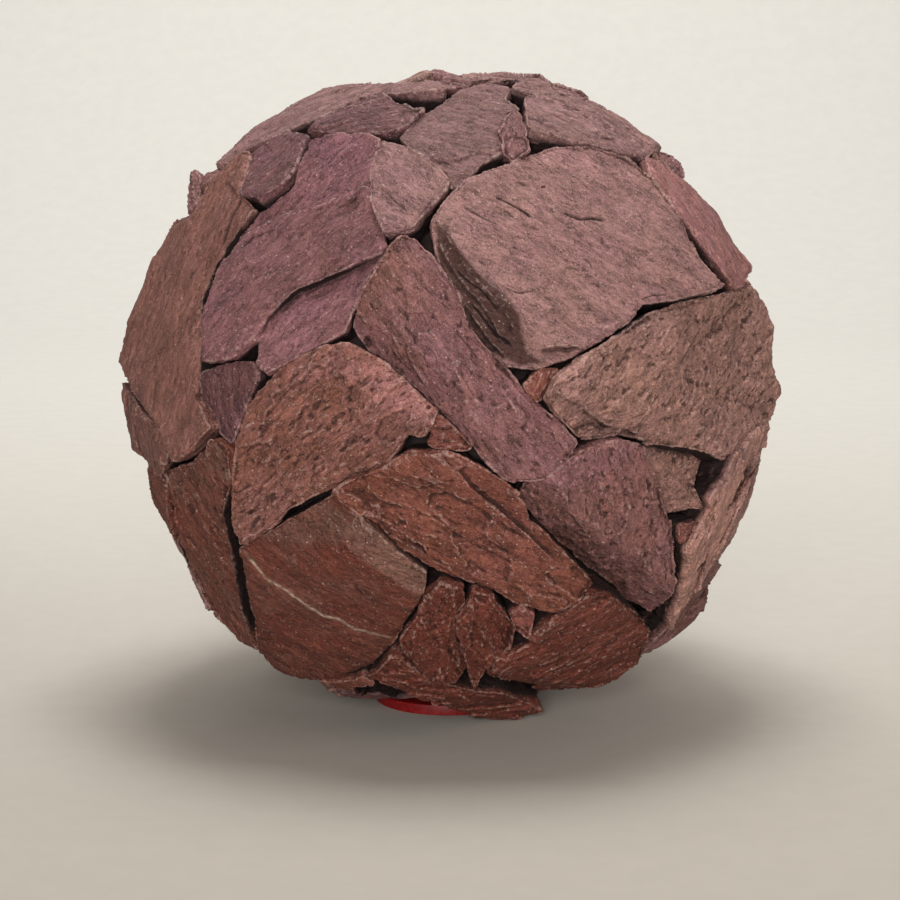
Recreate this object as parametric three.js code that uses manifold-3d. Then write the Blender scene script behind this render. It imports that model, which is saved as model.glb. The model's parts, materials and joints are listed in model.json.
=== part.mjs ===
// Ball faced with broken slate slabs, bedded on a round mortar core and standing on a low pad.
// Millimetres, +Z up. The origin is the middle of the pad's underside, on the surface it stands on.

import * as THREE from 'three';
import { mergeVertices } from 'three/addons/utils/BufferGeometryUtils.js';
import Module from 'manifold-3d';

const wasm = await Module();
wasm.setup();

// Driving dimensions, in millimetres and degrees
const faceRadius = 247;          // ball centre to the faces of the slabs
const centreHeight = 240;        // ball centre above the surface
const slabThickness = 26;
const mortarRadius = 229;
const padRadius = 57;
const padHeight = 8;
const padGap = 1;                // free space between the pad and what lies round it
const groundGap = 4;             // slabs above the surface, round the pad
const lowestStone = 1.5;         // the one slab that hangs lower, in front
const chipReach = 30;            // a stone smaller than this from its middle lies square to the ball
const jointGap = 0.9;            // least gap between two slabs
const bedGap = 0.35;             // between the mortar and a slab that lies on it
const crownHeight = 3;           // middle of a slab's face above its broken rim
const lipWidth = 4.5;            // width of the broken rim, seen from the face
const relief = 1.8;              // unevenness of a split face
const reliefPitch = 70;          // distance from one swell of a split face to the next
const smallSlab = 56;            // a slab narrower than this from its middle has no inner ring
const brokenSide = 66;           // length of one straight stretch in a broken side at the back
const shortSide = 22;            // a side at the back shorter than this is left out
const sideThrow = 11;            // how far such a side wanders
const rimRadius = 251;           // no corner at the back stands further out than this
const backReach = 105;           // degrees from the back's middle that the back's slabs reach
const backCount = 21;            // slabs at the back
const heartCorners = [[24, 10], [38, 92], [30, 160], [41, 222], [33, 300]];  // middle of the back
const backBend = 0.45;           // how far a slab at the back follows the ball, from 0, flat, to 1
const jointReach = 0.24;         // how far a joint's walls run in and out, as a share of the radius
const shortestEdge = 0.04;       // shorter edges, which the cuts leave, are drawn together

// Setting out: the slabs in front are drawn by their corners as the photograph shows them, in its pixels
const photo = { ballX: 448, ballY: 396, ballPixels: 321, eyeDistance: 2000, eyeRise: 8 };
const wrapPerPixel = 0.25;       // degrees round the back for each pixel past the ball's edge

const centre = new THREE.Vector3(0, 0, centreHeight);
const eyeRise = THREE.MathUtils.degToRad(photo.eyeRise);
const toEye = new THREE.Vector3(0, -Math.cos(eyeRise), Math.sin(eyeRise));
const eyeRight = new THREE.Vector3(1, 0, 0);
const eyeUp = new THREE.Vector3(0, Math.sin(eyeRise), Math.cos(eyeRise));
const eye = centre.clone().addScaledVector(toEye, photo.eyeDistance);
const faceTangent = faceRadius / Math.sqrt(photo.eyeDistance ** 2 - faceRadius ** 2);
const focalPixels = photo.ballPixels / faceTangent;

function seededRandom(seed) {
  let state = seed >>> 0;
  return () => {
    state = (state + 0x6d2b79f5) >>> 0;
    let t = state;
    t = Math.imul(t ^ (t >>> 15), t | 1);
    t ^= t + Math.imul(t ^ (t >>> 7), t | 61);
    return ((t ^ (t >>> 14)) >>> 0) / 4294967296;
  };
}

// The point of the ball's face that a pixel shows. Past the face's edge it stands out as far as it is seen
function placeAt([pixelX, pixelY]) {
  const across = pixelX - photo.ballX;
  const rise = photo.ballY - pixelY;
  const reach = Math.hypot(across, rise);
  const sight = Math.atan(reach / focalPixels);
  const fromCentre = photo.eyeDistance * Math.sin(sight);
  const past = Math.max(0, reach - photo.ballPixels) * THREE.MathUtils.degToRad(wrapPerPixel);
  const fromEye = Math.asin(Math.min(1, fromCentre / faceRadius)) - sight + past;
  const round = Math.atan2(rise, across);
  const direction = toEye.clone().multiplyScalar(Math.cos(fromEye))
    .addScaledVector(eyeRight, Math.sin(fromEye) * Math.cos(round))
    .addScaledVector(eyeUp, Math.sin(fromEye) * Math.sin(round));
  return centre.clone().addScaledVector(direction, Math.max(faceRadius, fromCentre));
}

// Direction from the ball's centre by degrees from the back's middle and the turn round it
function directionBehind(fromBack, turn) {
  const away = THREE.MathUtils.degToRad(fromBack);
  const round = THREE.MathUtils.degToRad(turn);
  return toEye.clone().multiplyScalar(-Math.cos(away))
    .addScaledVector(eyeRight, Math.sin(away) * Math.cos(round))
    .addScaledVector(eyeUp, Math.sin(away) * Math.sin(round));
}

// A slab's flat frame: its middle, two directions in the split face and the outward normal
function frameFor(points) {
  const middle = points.reduce((sum, p) => sum.add(p), new THREE.Vector3()).divideScalar(points.length);
  let normal = middle.clone().sub(centre).normalize();
  const rounds = Math.max(...points.map((p) => p.distanceTo(middle))) > chipReach ? 4 : 0;
  for (let round = 0; round < rounds; round += 1) {
    const along = new THREE.Vector3(0, 0, 1).cross(normal).normalize();
    const up = normal.clone().cross(along);
    let aa = 1e-6, ab = 0, bb = 1e-6, ah = 0, bh = 0;
    for (const p of points) {
      const d = p.clone().sub(middle);
      const [a, b, h] = [d.dot(along), d.dot(up), d.dot(normal)];
      aa += a * a;
      ab += a * b;
      bb += b * b;
      ah += a * h;
      bh += b * h;
    }
    const det = aa * bb - ab * ab;
    const slopeA = (ah * bb - bh * ab) / det;
    const slopeB = (bh * aa - ah * ab) / det;
    normal = normal.clone().addScaledVector(along, -slopeA).addScaledVector(up, -slopeB).normalize();
  }
  const along = new THREE.Vector3(0, 0, 1).cross(normal).normalize();
  return { middle, normal, along, up: normal.clone().cross(along) };
}

function toFrame(frame, point) {
  const d = point.clone().sub(frame.middle);
  return { a: d.dot(frame.along), b: d.dot(frame.up), h: d.dot(frame.normal) };
}

function fromFrame(frame, { a, b, h }) {
  return frame.middle.clone().addScaledVector(frame.along, a).addScaledVector(frame.up, b)
    .addScaledVector(frame.normal, h);
}

// Height of the ball's round surface over the slab's flat frame
function roundHeight(frame, a, b) {
  const foot = toFrame(frame, centre);
  const flat = (a - foot.a) ** 2 + (b - foot.b) ** 2;
  return Math.sqrt(Math.max(0, faceRadius ** 2 - flat)) + foot.h;
}

// The point of a slab's face in a direction from a viewpoint, which is the eye or the ball's centre
function faceFrom(frame, viewpoint, onBall, bend) {
  const sight = onBall.clone().sub(viewpoint).normalize();
  const toPlane = frame.middle.clone().sub(viewpoint).dot(frame.normal) / frame.normal.dot(sight);
  const toBall = onBall.distanceTo(viewpoint);
  return viewpoint.clone().addScaledVector(sight, (1 - bend) * toPlane + bend * toBall);
}

function onBallAlong(direction) {
  return centre.clone().addScaledVector(direction, faceRadius);
}

function faceHit(frame, pixel, bend) {
  return faceFrom(frame, eye, placeAt(pixel), bend);
}

function ringArea(ring) {
  return ring.reduce((sum, p, i) => {
    const q = ring[(i + 1) % ring.length];
    return sum + (p.a * q.b - q.a * p.b) / 2;
  }, 0);
}

// Sets out one slab of the front from its corners in the photograph
function layOutFront(spec) {
  const frame = frameFor(spec.outline.map(placeAt));
  frame.middle.addScaledVector(frame.normal, spec.lift ?? 0);
  const facing = Math.abs(frame.normal.dot(frame.middle.clone().sub(eye).normalize()));
  const bend = Math.max(spec.bend ?? 0.2, 1 - THREE.MathUtils.smoothstep(facing, 0.12, 0.42));
  const ring = spec.outline.map((p) => toFrame(frame, faceHit(frame, p, bend)));
  return { ...spec, frame, bend, ring };
}

// Parts a patch of the ball in two along a great circle across its longer way
function partPatch(patch, random) {
  const middle = patchMiddle(patch);
  const along = new THREE.Vector3(0, 0, 1).cross(middle).normalize();
  const up = middle.clone().cross(along);
  const { way, longest } = longWay(patch);
  const turn = way + (random() - 0.5) * 0.8;
  const shift = (random() - 0.5) * 0.3 * longest;
  const axis = along.clone().multiplyScalar(Math.cos(turn)).addScaledVector(up, Math.sin(turn));
  const normal = axis.clone().addScaledVector(middle, -shift).normalize();
  return [clipPatch(patch, normal), clipPatch(patch, normal.negate())];
}

// The direction, as a turn in the patch's own frame, in which a patch is longest
function longWay(patch) {
  const middle = patchMiddle(patch);
  const along = new THREE.Vector3(0, 0, 1).cross(middle).normalize();
  const up = middle.clone().cross(along);
  const ways = Array.from({ length: 12 }, (_, step) => {
    const way = (step * Math.PI) / 12;
    const axis = along.clone().multiplyScalar(Math.cos(way)).addScaledVector(up, Math.sin(way));
    const reach = patch.map((d) => d.dot(axis));
    return { way, longest: Math.max(...reach) - Math.min(...reach) };
  });
  return ways.reduce((best, one) => (one.longest > best.longest ? one : best));
}

function patchMiddle(patch) {
  return patch.reduce((sum, d) => sum.add(d), new THREE.Vector3()).normalize();
}

// Keeps the side of a patch that a great circle's normal points to
function clipPatch(patch, normal) {
  const kept = [];
  patch.forEach((p, i) => {
    const q = patch[(i + 1) % patch.length];
    const sideP = p.dot(normal);
    const sideQ = q.dot(normal);
    if (sideP >= 0) kept.push(p);
    if (sideP * sideQ < 0) kept.push(p.clone().lerp(q, sideP / (sideP - sideQ)).normalize());
  });
  return kept;
}

function patchSize(patch) {
  const middle = patchMiddle(patch);
  return patch.reduce((sum, p, i) => {
    const q = patch[(i + 1) % patch.length];
    return sum + p.clone().sub(middle).cross(q.clone().sub(middle)).length() / 2;
  }, 0);
}

// Breaks a patch's sides into short uneven ones
function breakSides(patch, random) {
  const broken = [];
  patch.forEach((p, i) => {
    const q = patch[(i + 1) % patch.length];
    const parts = Math.max(1, Math.round((p.distanceTo(q) * faceRadius) / brokenSide));
    for (let k = 0; k < parts; k += 1) {
      const t = (k + (k ? (random() - 0.5) * 0.5 : 0)) / parts;
      const wander = new THREE.Vector3(random() - 0.5, random() - 0.5, random() - 0.5);
      broken.push(p.clone().lerp(q, t).addScaledVector(wander, sideThrow / faceRadius).normalize());
    }
  });
  return broken;
}

// The back is laid as crazy paving: the largest patch is parted until there are enough
function patchesBehind() {
  const random = seededRandom(4117);
  const heart = heartCorners.map(([fromBack, turn]) => directionBehind(fromBack, turn));
  let patches = heartCorners.map(([, turn], i) => {
    const next = (i + 1) % heart.length;
    const last = heartCorners[next][1] + (next ? 0 : 360);
    const rim = [0, 1, 2, 3].map((k) => directionBehind(backReach, turn + ((last - turn) * k) / 3));
    return [heart[i], ...rim, heart[next]];
  });
  patches.push(heart);
  while (patches.length < backCount) {
    const weights = patches.map((patch) => {
      const { longest } = longWay(patch);
      return patchSize(patch) * longest * longest * (0.75 + random() * 0.5);
    });
    const pick = weights.indexOf(Math.max(...weights));
    patches = [...patches.slice(0, pick), ...partPatch(patches[pick], random), ...patches.slice(pick + 1)];
  }
  const far = (p, i, patch) => p.distanceTo(patch[(i + 1) % patch.length]) * faceRadius > shortSide;
  return patches.map((patch) => breakSides(patch.filter(far), random));
}

// Sets out one slab of the back from its patch
function layOutBack(patch, index) {
  const corners = patch.map(onBallAlong);
  const frame = frameFor(corners);
  const bend = backBend;
  const ring = corners.map((p) => {
    const out = faceFrom(frame, centre, p, bend).sub(centre);
    return toFrame(frame, out.clampLength(0, rimRadius).add(centre));
  });
  const name = `back_slab_${String(index + 1).padStart(2, '0')}`;
  return { name, colour: backColours[index % backColours.length], bedded: true, frame, bend, ring };
}

// A closed solid from stacked rings of points, the first ring at the bottom and a hub point on top
function stackRings(rings, hub) {
  const count = rings[0].length;
  const points = rings.flat();
  const faces = [];
  const flat = rings[0].map((p) => new THREE.Vector2(p.flatA, p.flatB));
  for (const [i, j, k] of THREE.ShapeUtils.triangulateShape(flat, [])) faces.push([i, k, j]);
  for (let level = 0; level + 1 < rings.length; level += 1) {
    for (let i = 0; i < count; i += 1) {
      const j = (i + 1) % count;
      const low = level * count;
      const high = low + count;
      faces.push([low + i, low + j, high + j], [low + i, high + j, high + i]);
    }
  }
  const top = (rings.length - 1) * count;
  if (hub) {
    points.push(hub);
    for (let i = 0; i < count; i += 1) faces.push([top + i, top + ((i + 1) % count), points.length - 1]);
  } else {
    for (const [i, j, k] of THREE.ShapeUtils.triangulateShape(flat, [])) {
      faces.push([top + i, top + j, top + k]);
    }
  }
  return solidFrom(points, faces);
}

function solidFrom(points, faces) {
  const vertProperties = new Float32Array(points.flatMap((p) => [p.x, p.y, p.z]));
  const triVerts = new Uint32Array(faces.flat());
  return new wasm.Manifold(new wasm.Mesh({ numProp: 3, vertProperties, triVerts }));
}

function solidFromGeometry(geometry) {
  geometry.deleteAttribute('normal');
  geometry.deleteAttribute('uv');
  const merged = mergeVertices(geometry, 1e-4);
  const place = merged.getAttribute('position');
  const mesh = { numProp: 3, vertProperties: place.array, triVerts: new Uint32Array(merged.index.array) };
  return new wasm.Manifold(new wasm.Mesh(mesh));
}

// Where the line from the ball's centre through a point meets the level h of a slab's frame
function dropTo(frame, point, h) {
  const ray = point.clone().sub(centre);
  const start = toFrame(frame, centre).h;
  const scale = (h - start) / ray.dot(frame.normal);
  return centre.clone().addScaledVector(ray, scale);
}

function keepFlat(frame, point) {
  const { a, b } = toFrame(frame, point);
  point.flatA = a;
  point.flatB = b;
  return point;
}

function hubOf(slab) {
  if (slab.hub) return toFrame(slab.frame, faceHit(slab.frame, slab.hub, slab.bend));
  let area = 0, a = 0, b = 0;
  slab.ring.forEach((p, i) => {
    const q = slab.ring[(i + 1) % slab.ring.length];
    const cross = p.a * q.b - q.a * p.b;
    area += cross / 2;
    a += ((p.a + q.a) * cross) / 6;
    b += ((p.b + q.b) * cross) / 6;
  });
  return { a: a / area, b: b / area, h: 0 };
}

// Gentle swells of a split face, in millimetres
function swell(point) {
  const [x, y, z] = point.clone().multiplyScalar((2 * Math.PI) / reliefPitch).toArray();
  return (relief / 2) * (Math.sin(x + 1.7 * Math.sin(y * 0.8)) + Math.sin(z * 1.3 + 1.4 * Math.sin(x * 0.6)));
}

// The slab itself: radial broken sides, a worn lip, an uneven split face
function slabSolid(slab, random) {
  const { frame, bend } = slab;
  const thick = slab.thick ?? slabThickness;
  const ring = ringArea(slab.ring) > 0 ? slab.ring : [...slab.ring].reverse();
  const hub = hubOf(slab);
  const reach = Math.min(...ring.map((p) => Math.hypot(p.a - hub.a, p.b - hub.b)));
  const crown = Math.min(crownHeight, reach * 0.12);
  const faceAt = (p, share, rise) => {
    const a = hub.a + (p.a - hub.a) * share;
    const b = hub.b + (p.b - hub.b) * share;
    const own = p.h - bend * roundHeight(frame, p.a, p.b);
    const h = bend * roundHeight(frame, a, b) + own * share + rise;
    const place = fromFrame(frame, { a, b, h });
    return keepFlat(frame, place.addScaledVector(frame.normal, swell(place) * (1 - share)));
  };
  const edge = ring.map((p) => keepFlat(frame, fromFrame(frame, p)));
  const bottom = edge.map((p) => keepFlat(frame, dropTo(frame, p, -thick)));
  const lip = ring.map((p) => {
    const far = Math.hypot(p.a - hub.a, p.b - hub.b);
    const inset = Math.min(0.24, (lipWidth * (0.6 + random() * 0.9)) / far);
    return faceAt(p, 1 - inset, crown * (0.3 + random() * 0.35));
  });
  const rings = [bottom, edge, lip];
  if (reach > smallSlab && slab.outline) rings.push(ring.map((p) => faceAt(p, 0.55, crown)));
  const solid = stackRings(rings, faceAt(ring[0], 0, crown));
  return slab.hooked ? solid.intersect(clearanceSolid(slab, bedGap)) : solid;
}

// What a slab keeps its neighbours out of: its outline grown by the joint, with radial walls
function clearanceSolid(slab, gap) {
  const ring = ringArea(slab.ring) > 0 ? slab.ring : [...slab.ring].reverse();
  const grown = ring.map((p, i) => {
    const before = ring[(i + ring.length - 1) % ring.length];
    const after = ring[(i + 1) % ring.length];
    const inward = new THREE.Vector2(p.b - before.b, before.a - p.a).normalize();
    const outward = new THREE.Vector2(after.b - p.b, p.a - after.a).normalize();
    const push = inward.add(outward).normalize().multiplyScalar(gap * 1.2);
    return fromFrame(slab.frame, { a: p.a + push.x, b: p.b + push.y, h: p.h });
  });
  const scaled = (share) => grown.map((p) => {
    const far = centre.clone().addScaledVector(p.clone().sub(centre), share);
    return keepFlat(slab.frame, far);
  });
  return stackRings([scaled(1 - jointReach), scaled(1 + jointReach)], null);
}

// A broken facet: the face past a ridge line slopes down and away from the slab's middle
function cutFacet(solid, slab, { ridge, slope }) {
  const { frame } = slab;
  const rise = frame.normal.clone().multiplyScalar(crownHeight);
  const [from, to] = ridge.map((p) => faceHit(frame, p, slab.bend).add(rise));
  const line = to.clone().sub(from).normalize();
  const away = line.clone().cross(frame.normal).normalize();
  const hub = fromFrame(frame, hubOf(slab));
  if (away.dot(hub.sub(from)) > 0) away.negate();
  const angle = THREE.MathUtils.degToRad(slope);
  const cut = frame.normal.clone().multiplyScalar(Math.cos(angle)).addScaledVector(away, Math.sin(angle));
  return solid.trimByPlane(cut.clone().negate().toArray(), -cut.dot(from));
}

// A split layer: inside a region the face lies lower by the layer's depth
function splitLayer(solid, slab, { region, depth }) {
  const { frame } = slab;
  const ring = region.map((p) => toFrame(frame, faceHit(frame, p, slab.bend)));
  if (ringArea(ring) < 0) ring.reverse();
  const level = (h) => ring.map((p) => keepFlat(frame, fromFrame(frame, { a: p.a, b: p.b, h })));
  return solid.subtract(stackRings([level(crownHeight - depth), level(60)], null));
}

// A broken corner on a slab of the back, past a share of the way from its middle to its rim
function breakCorner(solid, slab, random) {
  const { frame } = slab;
  const turn = random() * 2 * Math.PI;
  const share = 0.35 + random() * 0.3;
  const angle = THREE.MathUtils.degToRad(14 + random() * 16);
  const away = frame.along.clone().multiplyScalar(Math.cos(turn)).addScaledVector(frame.up, Math.sin(turn));
  const hub = hubOf(slab);
  const reach = Math.max(...slab.ring.map((p) => fromFrame(frame, p).sub(fromFrame(frame, hub)).dot(away)));
  const rise = crownHeight + slab.bend * roundHeight(frame, hub.a, hub.b);
  const start = fromFrame(frame, { ...hub, h: rise }).addScaledVector(away, reach * share);
  const cut = frame.normal.clone().multiplyScalar(Math.cos(angle)).addScaledVector(away, Math.sin(angle));
  return solid.trimByPlane(cut.clone().negate().toArray(), -cut.dot(start));
}

function largestBody(solid) {
  return solid.decompose().reduce((best, body) => (body.volume() > best.volume() ? body : best));
}

// The mortar: a ball dressed flat under each large slab
function mortarSolid(slabs, extra) {
  const ball = new THREE.IcosahedronGeometry(mortarRadius + extra, 7);
  ball.translate(centre.x, centre.y, centre.z);
  let mortar = solidFromGeometry(ball);
  for (const slab of slabs.filter((s) => s.bedded)) {
    const { frame } = slab;
    const level = frame.middle.dot(frame.normal) - (slab.thick ?? slabThickness) - bedGap + extra;
    mortar = mortar.trimByPlane(frame.normal.clone().negate().toArray(), -level);
  }
  return mortar.subtract(padSolid(bedGap - extra));
}

function padSolid(gap) {
  const pad = new THREE.CylinderGeometry(padRadius + gap, padRadius + gap, padHeight + gap + 10, 40);
  pad.rotateX(Math.PI / 2);
  pad.translate(0, 0, (padHeight + gap - 10) / 2);
  return solidFromGeometry(pad);
}

function meshOf(name, solid, colour, roughness) {
  const { vertProperties, triVerts } = solid.getMesh();
  const indexed = new THREE.BufferGeometry();
  indexed.setAttribute('position', new THREE.BufferAttribute(new Float32Array(vertProperties), 3));
  indexed.setIndex(new THREE.BufferAttribute(new Uint32Array(triVerts), 1));
  const geometry = indexed.toNonIndexed();
  geometry.computeVertexNormals();
  const material = new THREE.MeshStandardMaterial({ color: colour, roughness, metalness: 0 });
  const mesh = new THREE.Mesh(geometry, material);
  mesh.name = name;
  return mesh;
}

// Colours of the stone
const stone = {
  rose: 0x9a7674, plum: 0x8b6166, brown: 0x835d55, russet: 0x7d554c, red: 0x73463c, dark: 0x5c3a2d,
  mauve: 0x8a615f, tan: 0x8d6658, wine: 0x603529, pink: 0x9d7b75,
};

// The slabs of the front, in the order in which they lie over each other
const frontSlabs = [
  {
    name: 'great_slab', colour: stone.rose, bedded: true, lift: 2,
    outline: [[430, 221], [445, 201], [465, 180], [490, 170], [529, 156], [557, 147], [592, 146], [626, 157],
      [652, 177], [677, 211], [701, 260], [725, 286], [709, 291], [676, 299], [642, 305], [632, 320],
      [606, 337], [575, 356], [540, 369], [512, 364], [486, 340], [470, 318], [459, 286], [440, 260]],
    facets: [
      { ridge: [[441, 222], [476, 273]], slope: 46 },
      { ridge: [[476, 273], [524, 322]], slope: 44 },
    ],
    layers: [{ region: [[523, 352], [560, 345], [578, 346], [590, 356], [540, 376], [505, 370]], depth: 5 }],
  },
  {
    name: 'long_bar', colour: stone.mauve, bedded: true, lift: 1,
    outline: [[401, 234], [416, 238], [436, 259], [461, 290], [472, 321], [494, 352], [526, 394],
      [559, 422], [579, 443], [563, 465], [543, 480], [508, 483], [483, 459], [459, 430], [431, 403],
      [401, 374], [364, 348], [348, 323], [355, 304], [374, 272], [390, 246]],
    facets: [
      { ridge: [[374, 300], [430, 366]], slope: 34 },
      { ridge: [[402, 240], [455, 292]], slope: 40 },
    ],
  },
  {
    name: 'right_slab', colour: stone.tan, bedded: true, lift: 2, bend: 0.6, hub: [668, 372],
    outline: [[558, 377], [577, 365], [586, 356], [615, 339], [646, 316], [677, 303], [724, 293],
      [750, 285], [765, 304], [773, 327], [770, 360], [782, 391], [770, 417], [750, 433], [727, 458],
      [719, 466], [706, 491], [712, 511], [682, 526], [675, 513], [662, 474], [649, 452], [653, 440],
      [629, 437], [592, 443], [568, 422], [549, 398]],
    facets: [{ ridge: [[553, 389], [610, 424]], slope: 38 }],
    layers: [{
      region: [[640, 441], [690, 447], [712, 453], [727, 462], [722, 530], [668, 536], [630, 470]],
      depth: 10,
    }],
  },
  {
    name: 'ridge_slab', colour: stone.mauve, bedded: true,
    outline: [[532, 483], [551, 475], [579, 453], [611, 440], [643, 445], [650, 464], [672, 511],
      [674, 560], [676, 584], [673, 618], [668, 629], [649, 626], [628, 601], [600, 583], [572, 557],
      [543, 530], [524, 503]],
    facets: [
      { ridge: [[545, 496], [591, 530]], slope: 42 },
      { ridge: [[591, 530], [628, 598]], slope: 40 },
    ],
  },
  {
    name: 'layered_slab', colour: stone.red, bedded: true, lift: 2,
    outline: [[329, 492], [350, 481], [381, 470], [409, 451], [446, 451], [470, 462], [502, 481],
      [524, 497], [530, 521], [556, 542], [594, 584], [582, 599], [558, 614], [516, 605], [492, 590],
      [450, 580], [426, 569], [397, 549], [373, 526], [354, 513]],
    layers: [
      {
        region: [[430, 440], [470, 450], [540, 500], [610, 585], [584, 590], [520, 530], [470, 488]],
        depth: 4,
      },
      { region: [[366, 512], [390, 524], [424, 546], [440, 590], [380, 560], [355, 520]], depth: 6 },
    ],
    facets: [{ ridge: [[372, 522], [470, 572]], slope: 30 }],
  },
  {
    name: 'russet_slab', colour: stone.russet, bedded: true, lift: 1,
    outline: [[275, 372], [318, 348], [346, 342], [376, 358], [404, 379], [438, 412], [423, 436],
      [408, 433], [396, 451], [382, 468], [352, 477], [319, 493], [289, 509], [266, 532], [240, 547],
      [231, 517], [231, 480], [238, 432], [247, 402]],
    facets: [{ ridge: [[346, 360], [416, 425]], slope: 30 }],
  },
  {
    name: 'veined_slab', colour: stone.dark, bedded: true, lift: 1,
    outline: [[240, 549], [258, 538], [289, 521], [330, 500], [364, 519], [383, 533], [398, 550],
      [427, 573], [423, 595], [402, 630], [378, 661], [335, 680], [300, 680], [276, 671], [257, 650],
      [254, 616], [246, 587]],
    facets: [
      { ridge: [[256, 541], [345, 548]], slope: 28 },
      { ridge: [[345, 530], [421, 599]], slope: 28 },
    ],
  },
  {
    name: 'plum_slab', colour: stone.plum, bedded: true, lift: 1,
    outline: [[311, 140], [330, 133], [369, 134], [379, 139], [370, 170], [371, 204], [388, 246],
      [369, 271], [359, 294], [342, 330], [305, 351], [265, 374], [255, 364], [257, 339], [230, 358],
      [202, 360], [201, 318], [217, 271], [232, 244], [257, 212], [290, 187], [301, 160]],
    layers: [
      {
        region: [[225, 262], [249, 235], [289, 215], [329, 204], [364, 188], [400, 190], [396, 118],
          [300, 118], [278, 185], [222, 240]],
        depth: 4,
      },
      {
        region: [[250, 352], [268, 317], [293, 293], [345, 269], [395, 246], [362, 310], [345, 340],
          [300, 364], [262, 384]],
        depth: 5,
      },
    ],
  },
  {
    name: 'left_slab', colour: stone.brown, bedded: true, bend: 0.4, hub: [178, 318],
    outline: [[191, 216], [208, 187], [230, 163], [241, 152], [250, 153], [240, 195], [257, 212],
      [240, 230], [217, 264], [201, 300], [200, 368], [196, 396], [208, 428], [185, 454], [171, 463],
      [160, 430], [131, 389], [119, 362], [127, 322], [143, 287], [154, 258], [175, 222]],
  },
  {
    name: 'left_tall_slab', colour: stone.dark, bedded: true,
    outline: [[169, 471], [191, 463], [205, 449], [209, 439], [230, 460], [229, 488], [222, 512],
      [230, 556], [241, 612], [257, 652], [239, 642], [212, 611], [191, 570], [177, 525], [169, 490]],
    facets: [{ ridge: [[205, 452], [228, 492]], slope: 18 }],
  },
  {
    name: 'pale_right_slab', colour: stone.tan, bedded: true, hooked: true, hub: [716, 532],
    outline: [[755, 430], [769, 418], [768, 430], [760, 457], [744, 500], [728, 539], [711, 569],
      [694, 595], [672, 630], [671, 622], [684, 590], [689, 565], [688, 552], [699, 530], [712, 509],
      [710, 500], [728, 477], [741, 446]],
  },
  {
    name: 'bottom_right_slab', colour: stone.dark, bedded: true, hooked: true,
    outline: [[589, 596], [617, 600], [638, 615], [650, 632], [640, 663], [617, 679], [594, 688],
      [584, 700], [543, 712], [537, 703], [545, 697], [508, 688], [489, 678], [497, 662], [533, 645],
      [530, 640], [545, 627], [574, 608]],
    facets: [{ ridge: [[500, 672], [590, 682]], slope: 26 }],
  },
  {
    name: 'upper_slab', colour: stone.rose, bedded: true,
    outline: [[400, 137], [416, 121], [433, 110], [459, 92], [485, 84], [513, 88], [505, 99], [520, 110],
      [507, 113], [501, 129], [497, 135], [504, 151], [481, 161], [464, 178], [453, 179], [443, 167],
      [409, 147]],
    facets: [{ ridge: [[428, 155], [500, 150]], slope: 26 }],
  },
  {
    name: 'upper_right_slab', colour: stone.pink, bedded: true,
    outline: [[525, 96], [557, 96], [592, 101], [625, 119], [661, 148], [645, 158], [615, 151],
      [592, 144], [573, 140], [541, 132], [529, 127]],
  },
  {
    name: 'top_left_slab', colour: stone.pink, bedded: true, bend: 0.5,
    outline: [[214, 165], [249, 133], [297, 102], [325, 89], [350, 84], [403, 84], [438, 82], [446, 88],
      [420, 92], [360, 97], [321, 116], [286, 131], [254, 146], [227, 163]],
  },
  {
    name: 'shield_slab', colour: stone.rose, bedded: true, lift: 2,
    outline: [[379, 140], [408, 147], [428, 159], [450, 178], [446, 188], [427, 209], [412, 228],
      [385, 232], [375, 217], [369, 191], [371, 168]],
  },
  {
    name: 'dark_wedge', colour: stone.plum, lift: -2,
    outline: [[202, 372], [233, 362], [255, 361], [260, 376], [247, 400], [238, 425], [229, 448],
      [218, 430], [201, 407], [199, 385]],
  },
  {
    name: 'brow_slab', colour: stone.plum, lift: 1,
    outline: [[286, 131], [308, 135], [302, 146], [288, 183], [268, 206], [255, 197], [240, 194],
      [250, 156], [273, 140]],
  },
  {
    name: 'right_strap_slab', colour: stone.mauve, bend: 0.6,
    outline: [[645, 157], [661, 163], [686, 184], [714, 210], [733, 243], [752, 270], [740, 291],
      [724, 273], [701, 241], [679, 212], [653, 178]],
  },
  {
    name: 'rough_top_slab', colour: stone.plum, lift: 1,
    outline: [[307, 129], [329, 113], [358, 98], [382, 94], [411, 108], [432, 110], [417, 120],
      [395, 130], [366, 133], [329, 132]],
  },
  {
    name: 'left_low_slab', colour: stone.brown, bend: 0.5,
    outline: [[122, 382], [140, 411], [160, 430], [168, 456], [158, 477], [146, 461], [133, 448],
      [124, 412]],
  },
  {
    name: 'keel_left_slab', colour: stone.dark, lift: 1,
    outline: [[446, 582], [425, 598], [418, 618], [400, 639], [404, 655], [428, 679], [455, 684],
      [468, 673], [458, 643], [454, 620], [466, 606], [461, 589]],
    facets: [{ ridge: [[448, 588], [444, 672]], slope: 22 }],
  },
  {
    name: 'keel_right_slab', colour: stone.dark, lift: 1,
    outline: [[468, 607], [475, 592], [492, 598], [505, 616], [517, 635], [509, 657], [484, 672],
      [475, 690], [469, 673], [460, 643], [456, 620]],
    facets: [{ ridge: [[486, 600], [494, 664]], slope: 24 }],
  },
  {
    name: 'crown_slab', colour: stone.pink, lift: 1,
    outline: [[471, 81], [460, 75], [505, 73], [541, 73], [550, 81], [581, 89], [594, 101], [565, 98],
      [541, 95], [513, 87], [521, 81]],
  },
  {
    name: 'crown_end', colour: stone.plum, lift: 1,
    outline: [[436, 83], [450, 75], [471, 83], [468, 87], [440, 87]],
  },
  {
    name: 'wedge_chip', colour: stone.mauve, lift: 2,
    outline: [[509, 112], [519, 111], [525, 124], [530, 150], [518, 156], [504, 147], [497, 136],
      [505, 122]],
    facets: [{ ridge: [[497, 137], [530, 149]], slope: 40 }],
  },
  {
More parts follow.
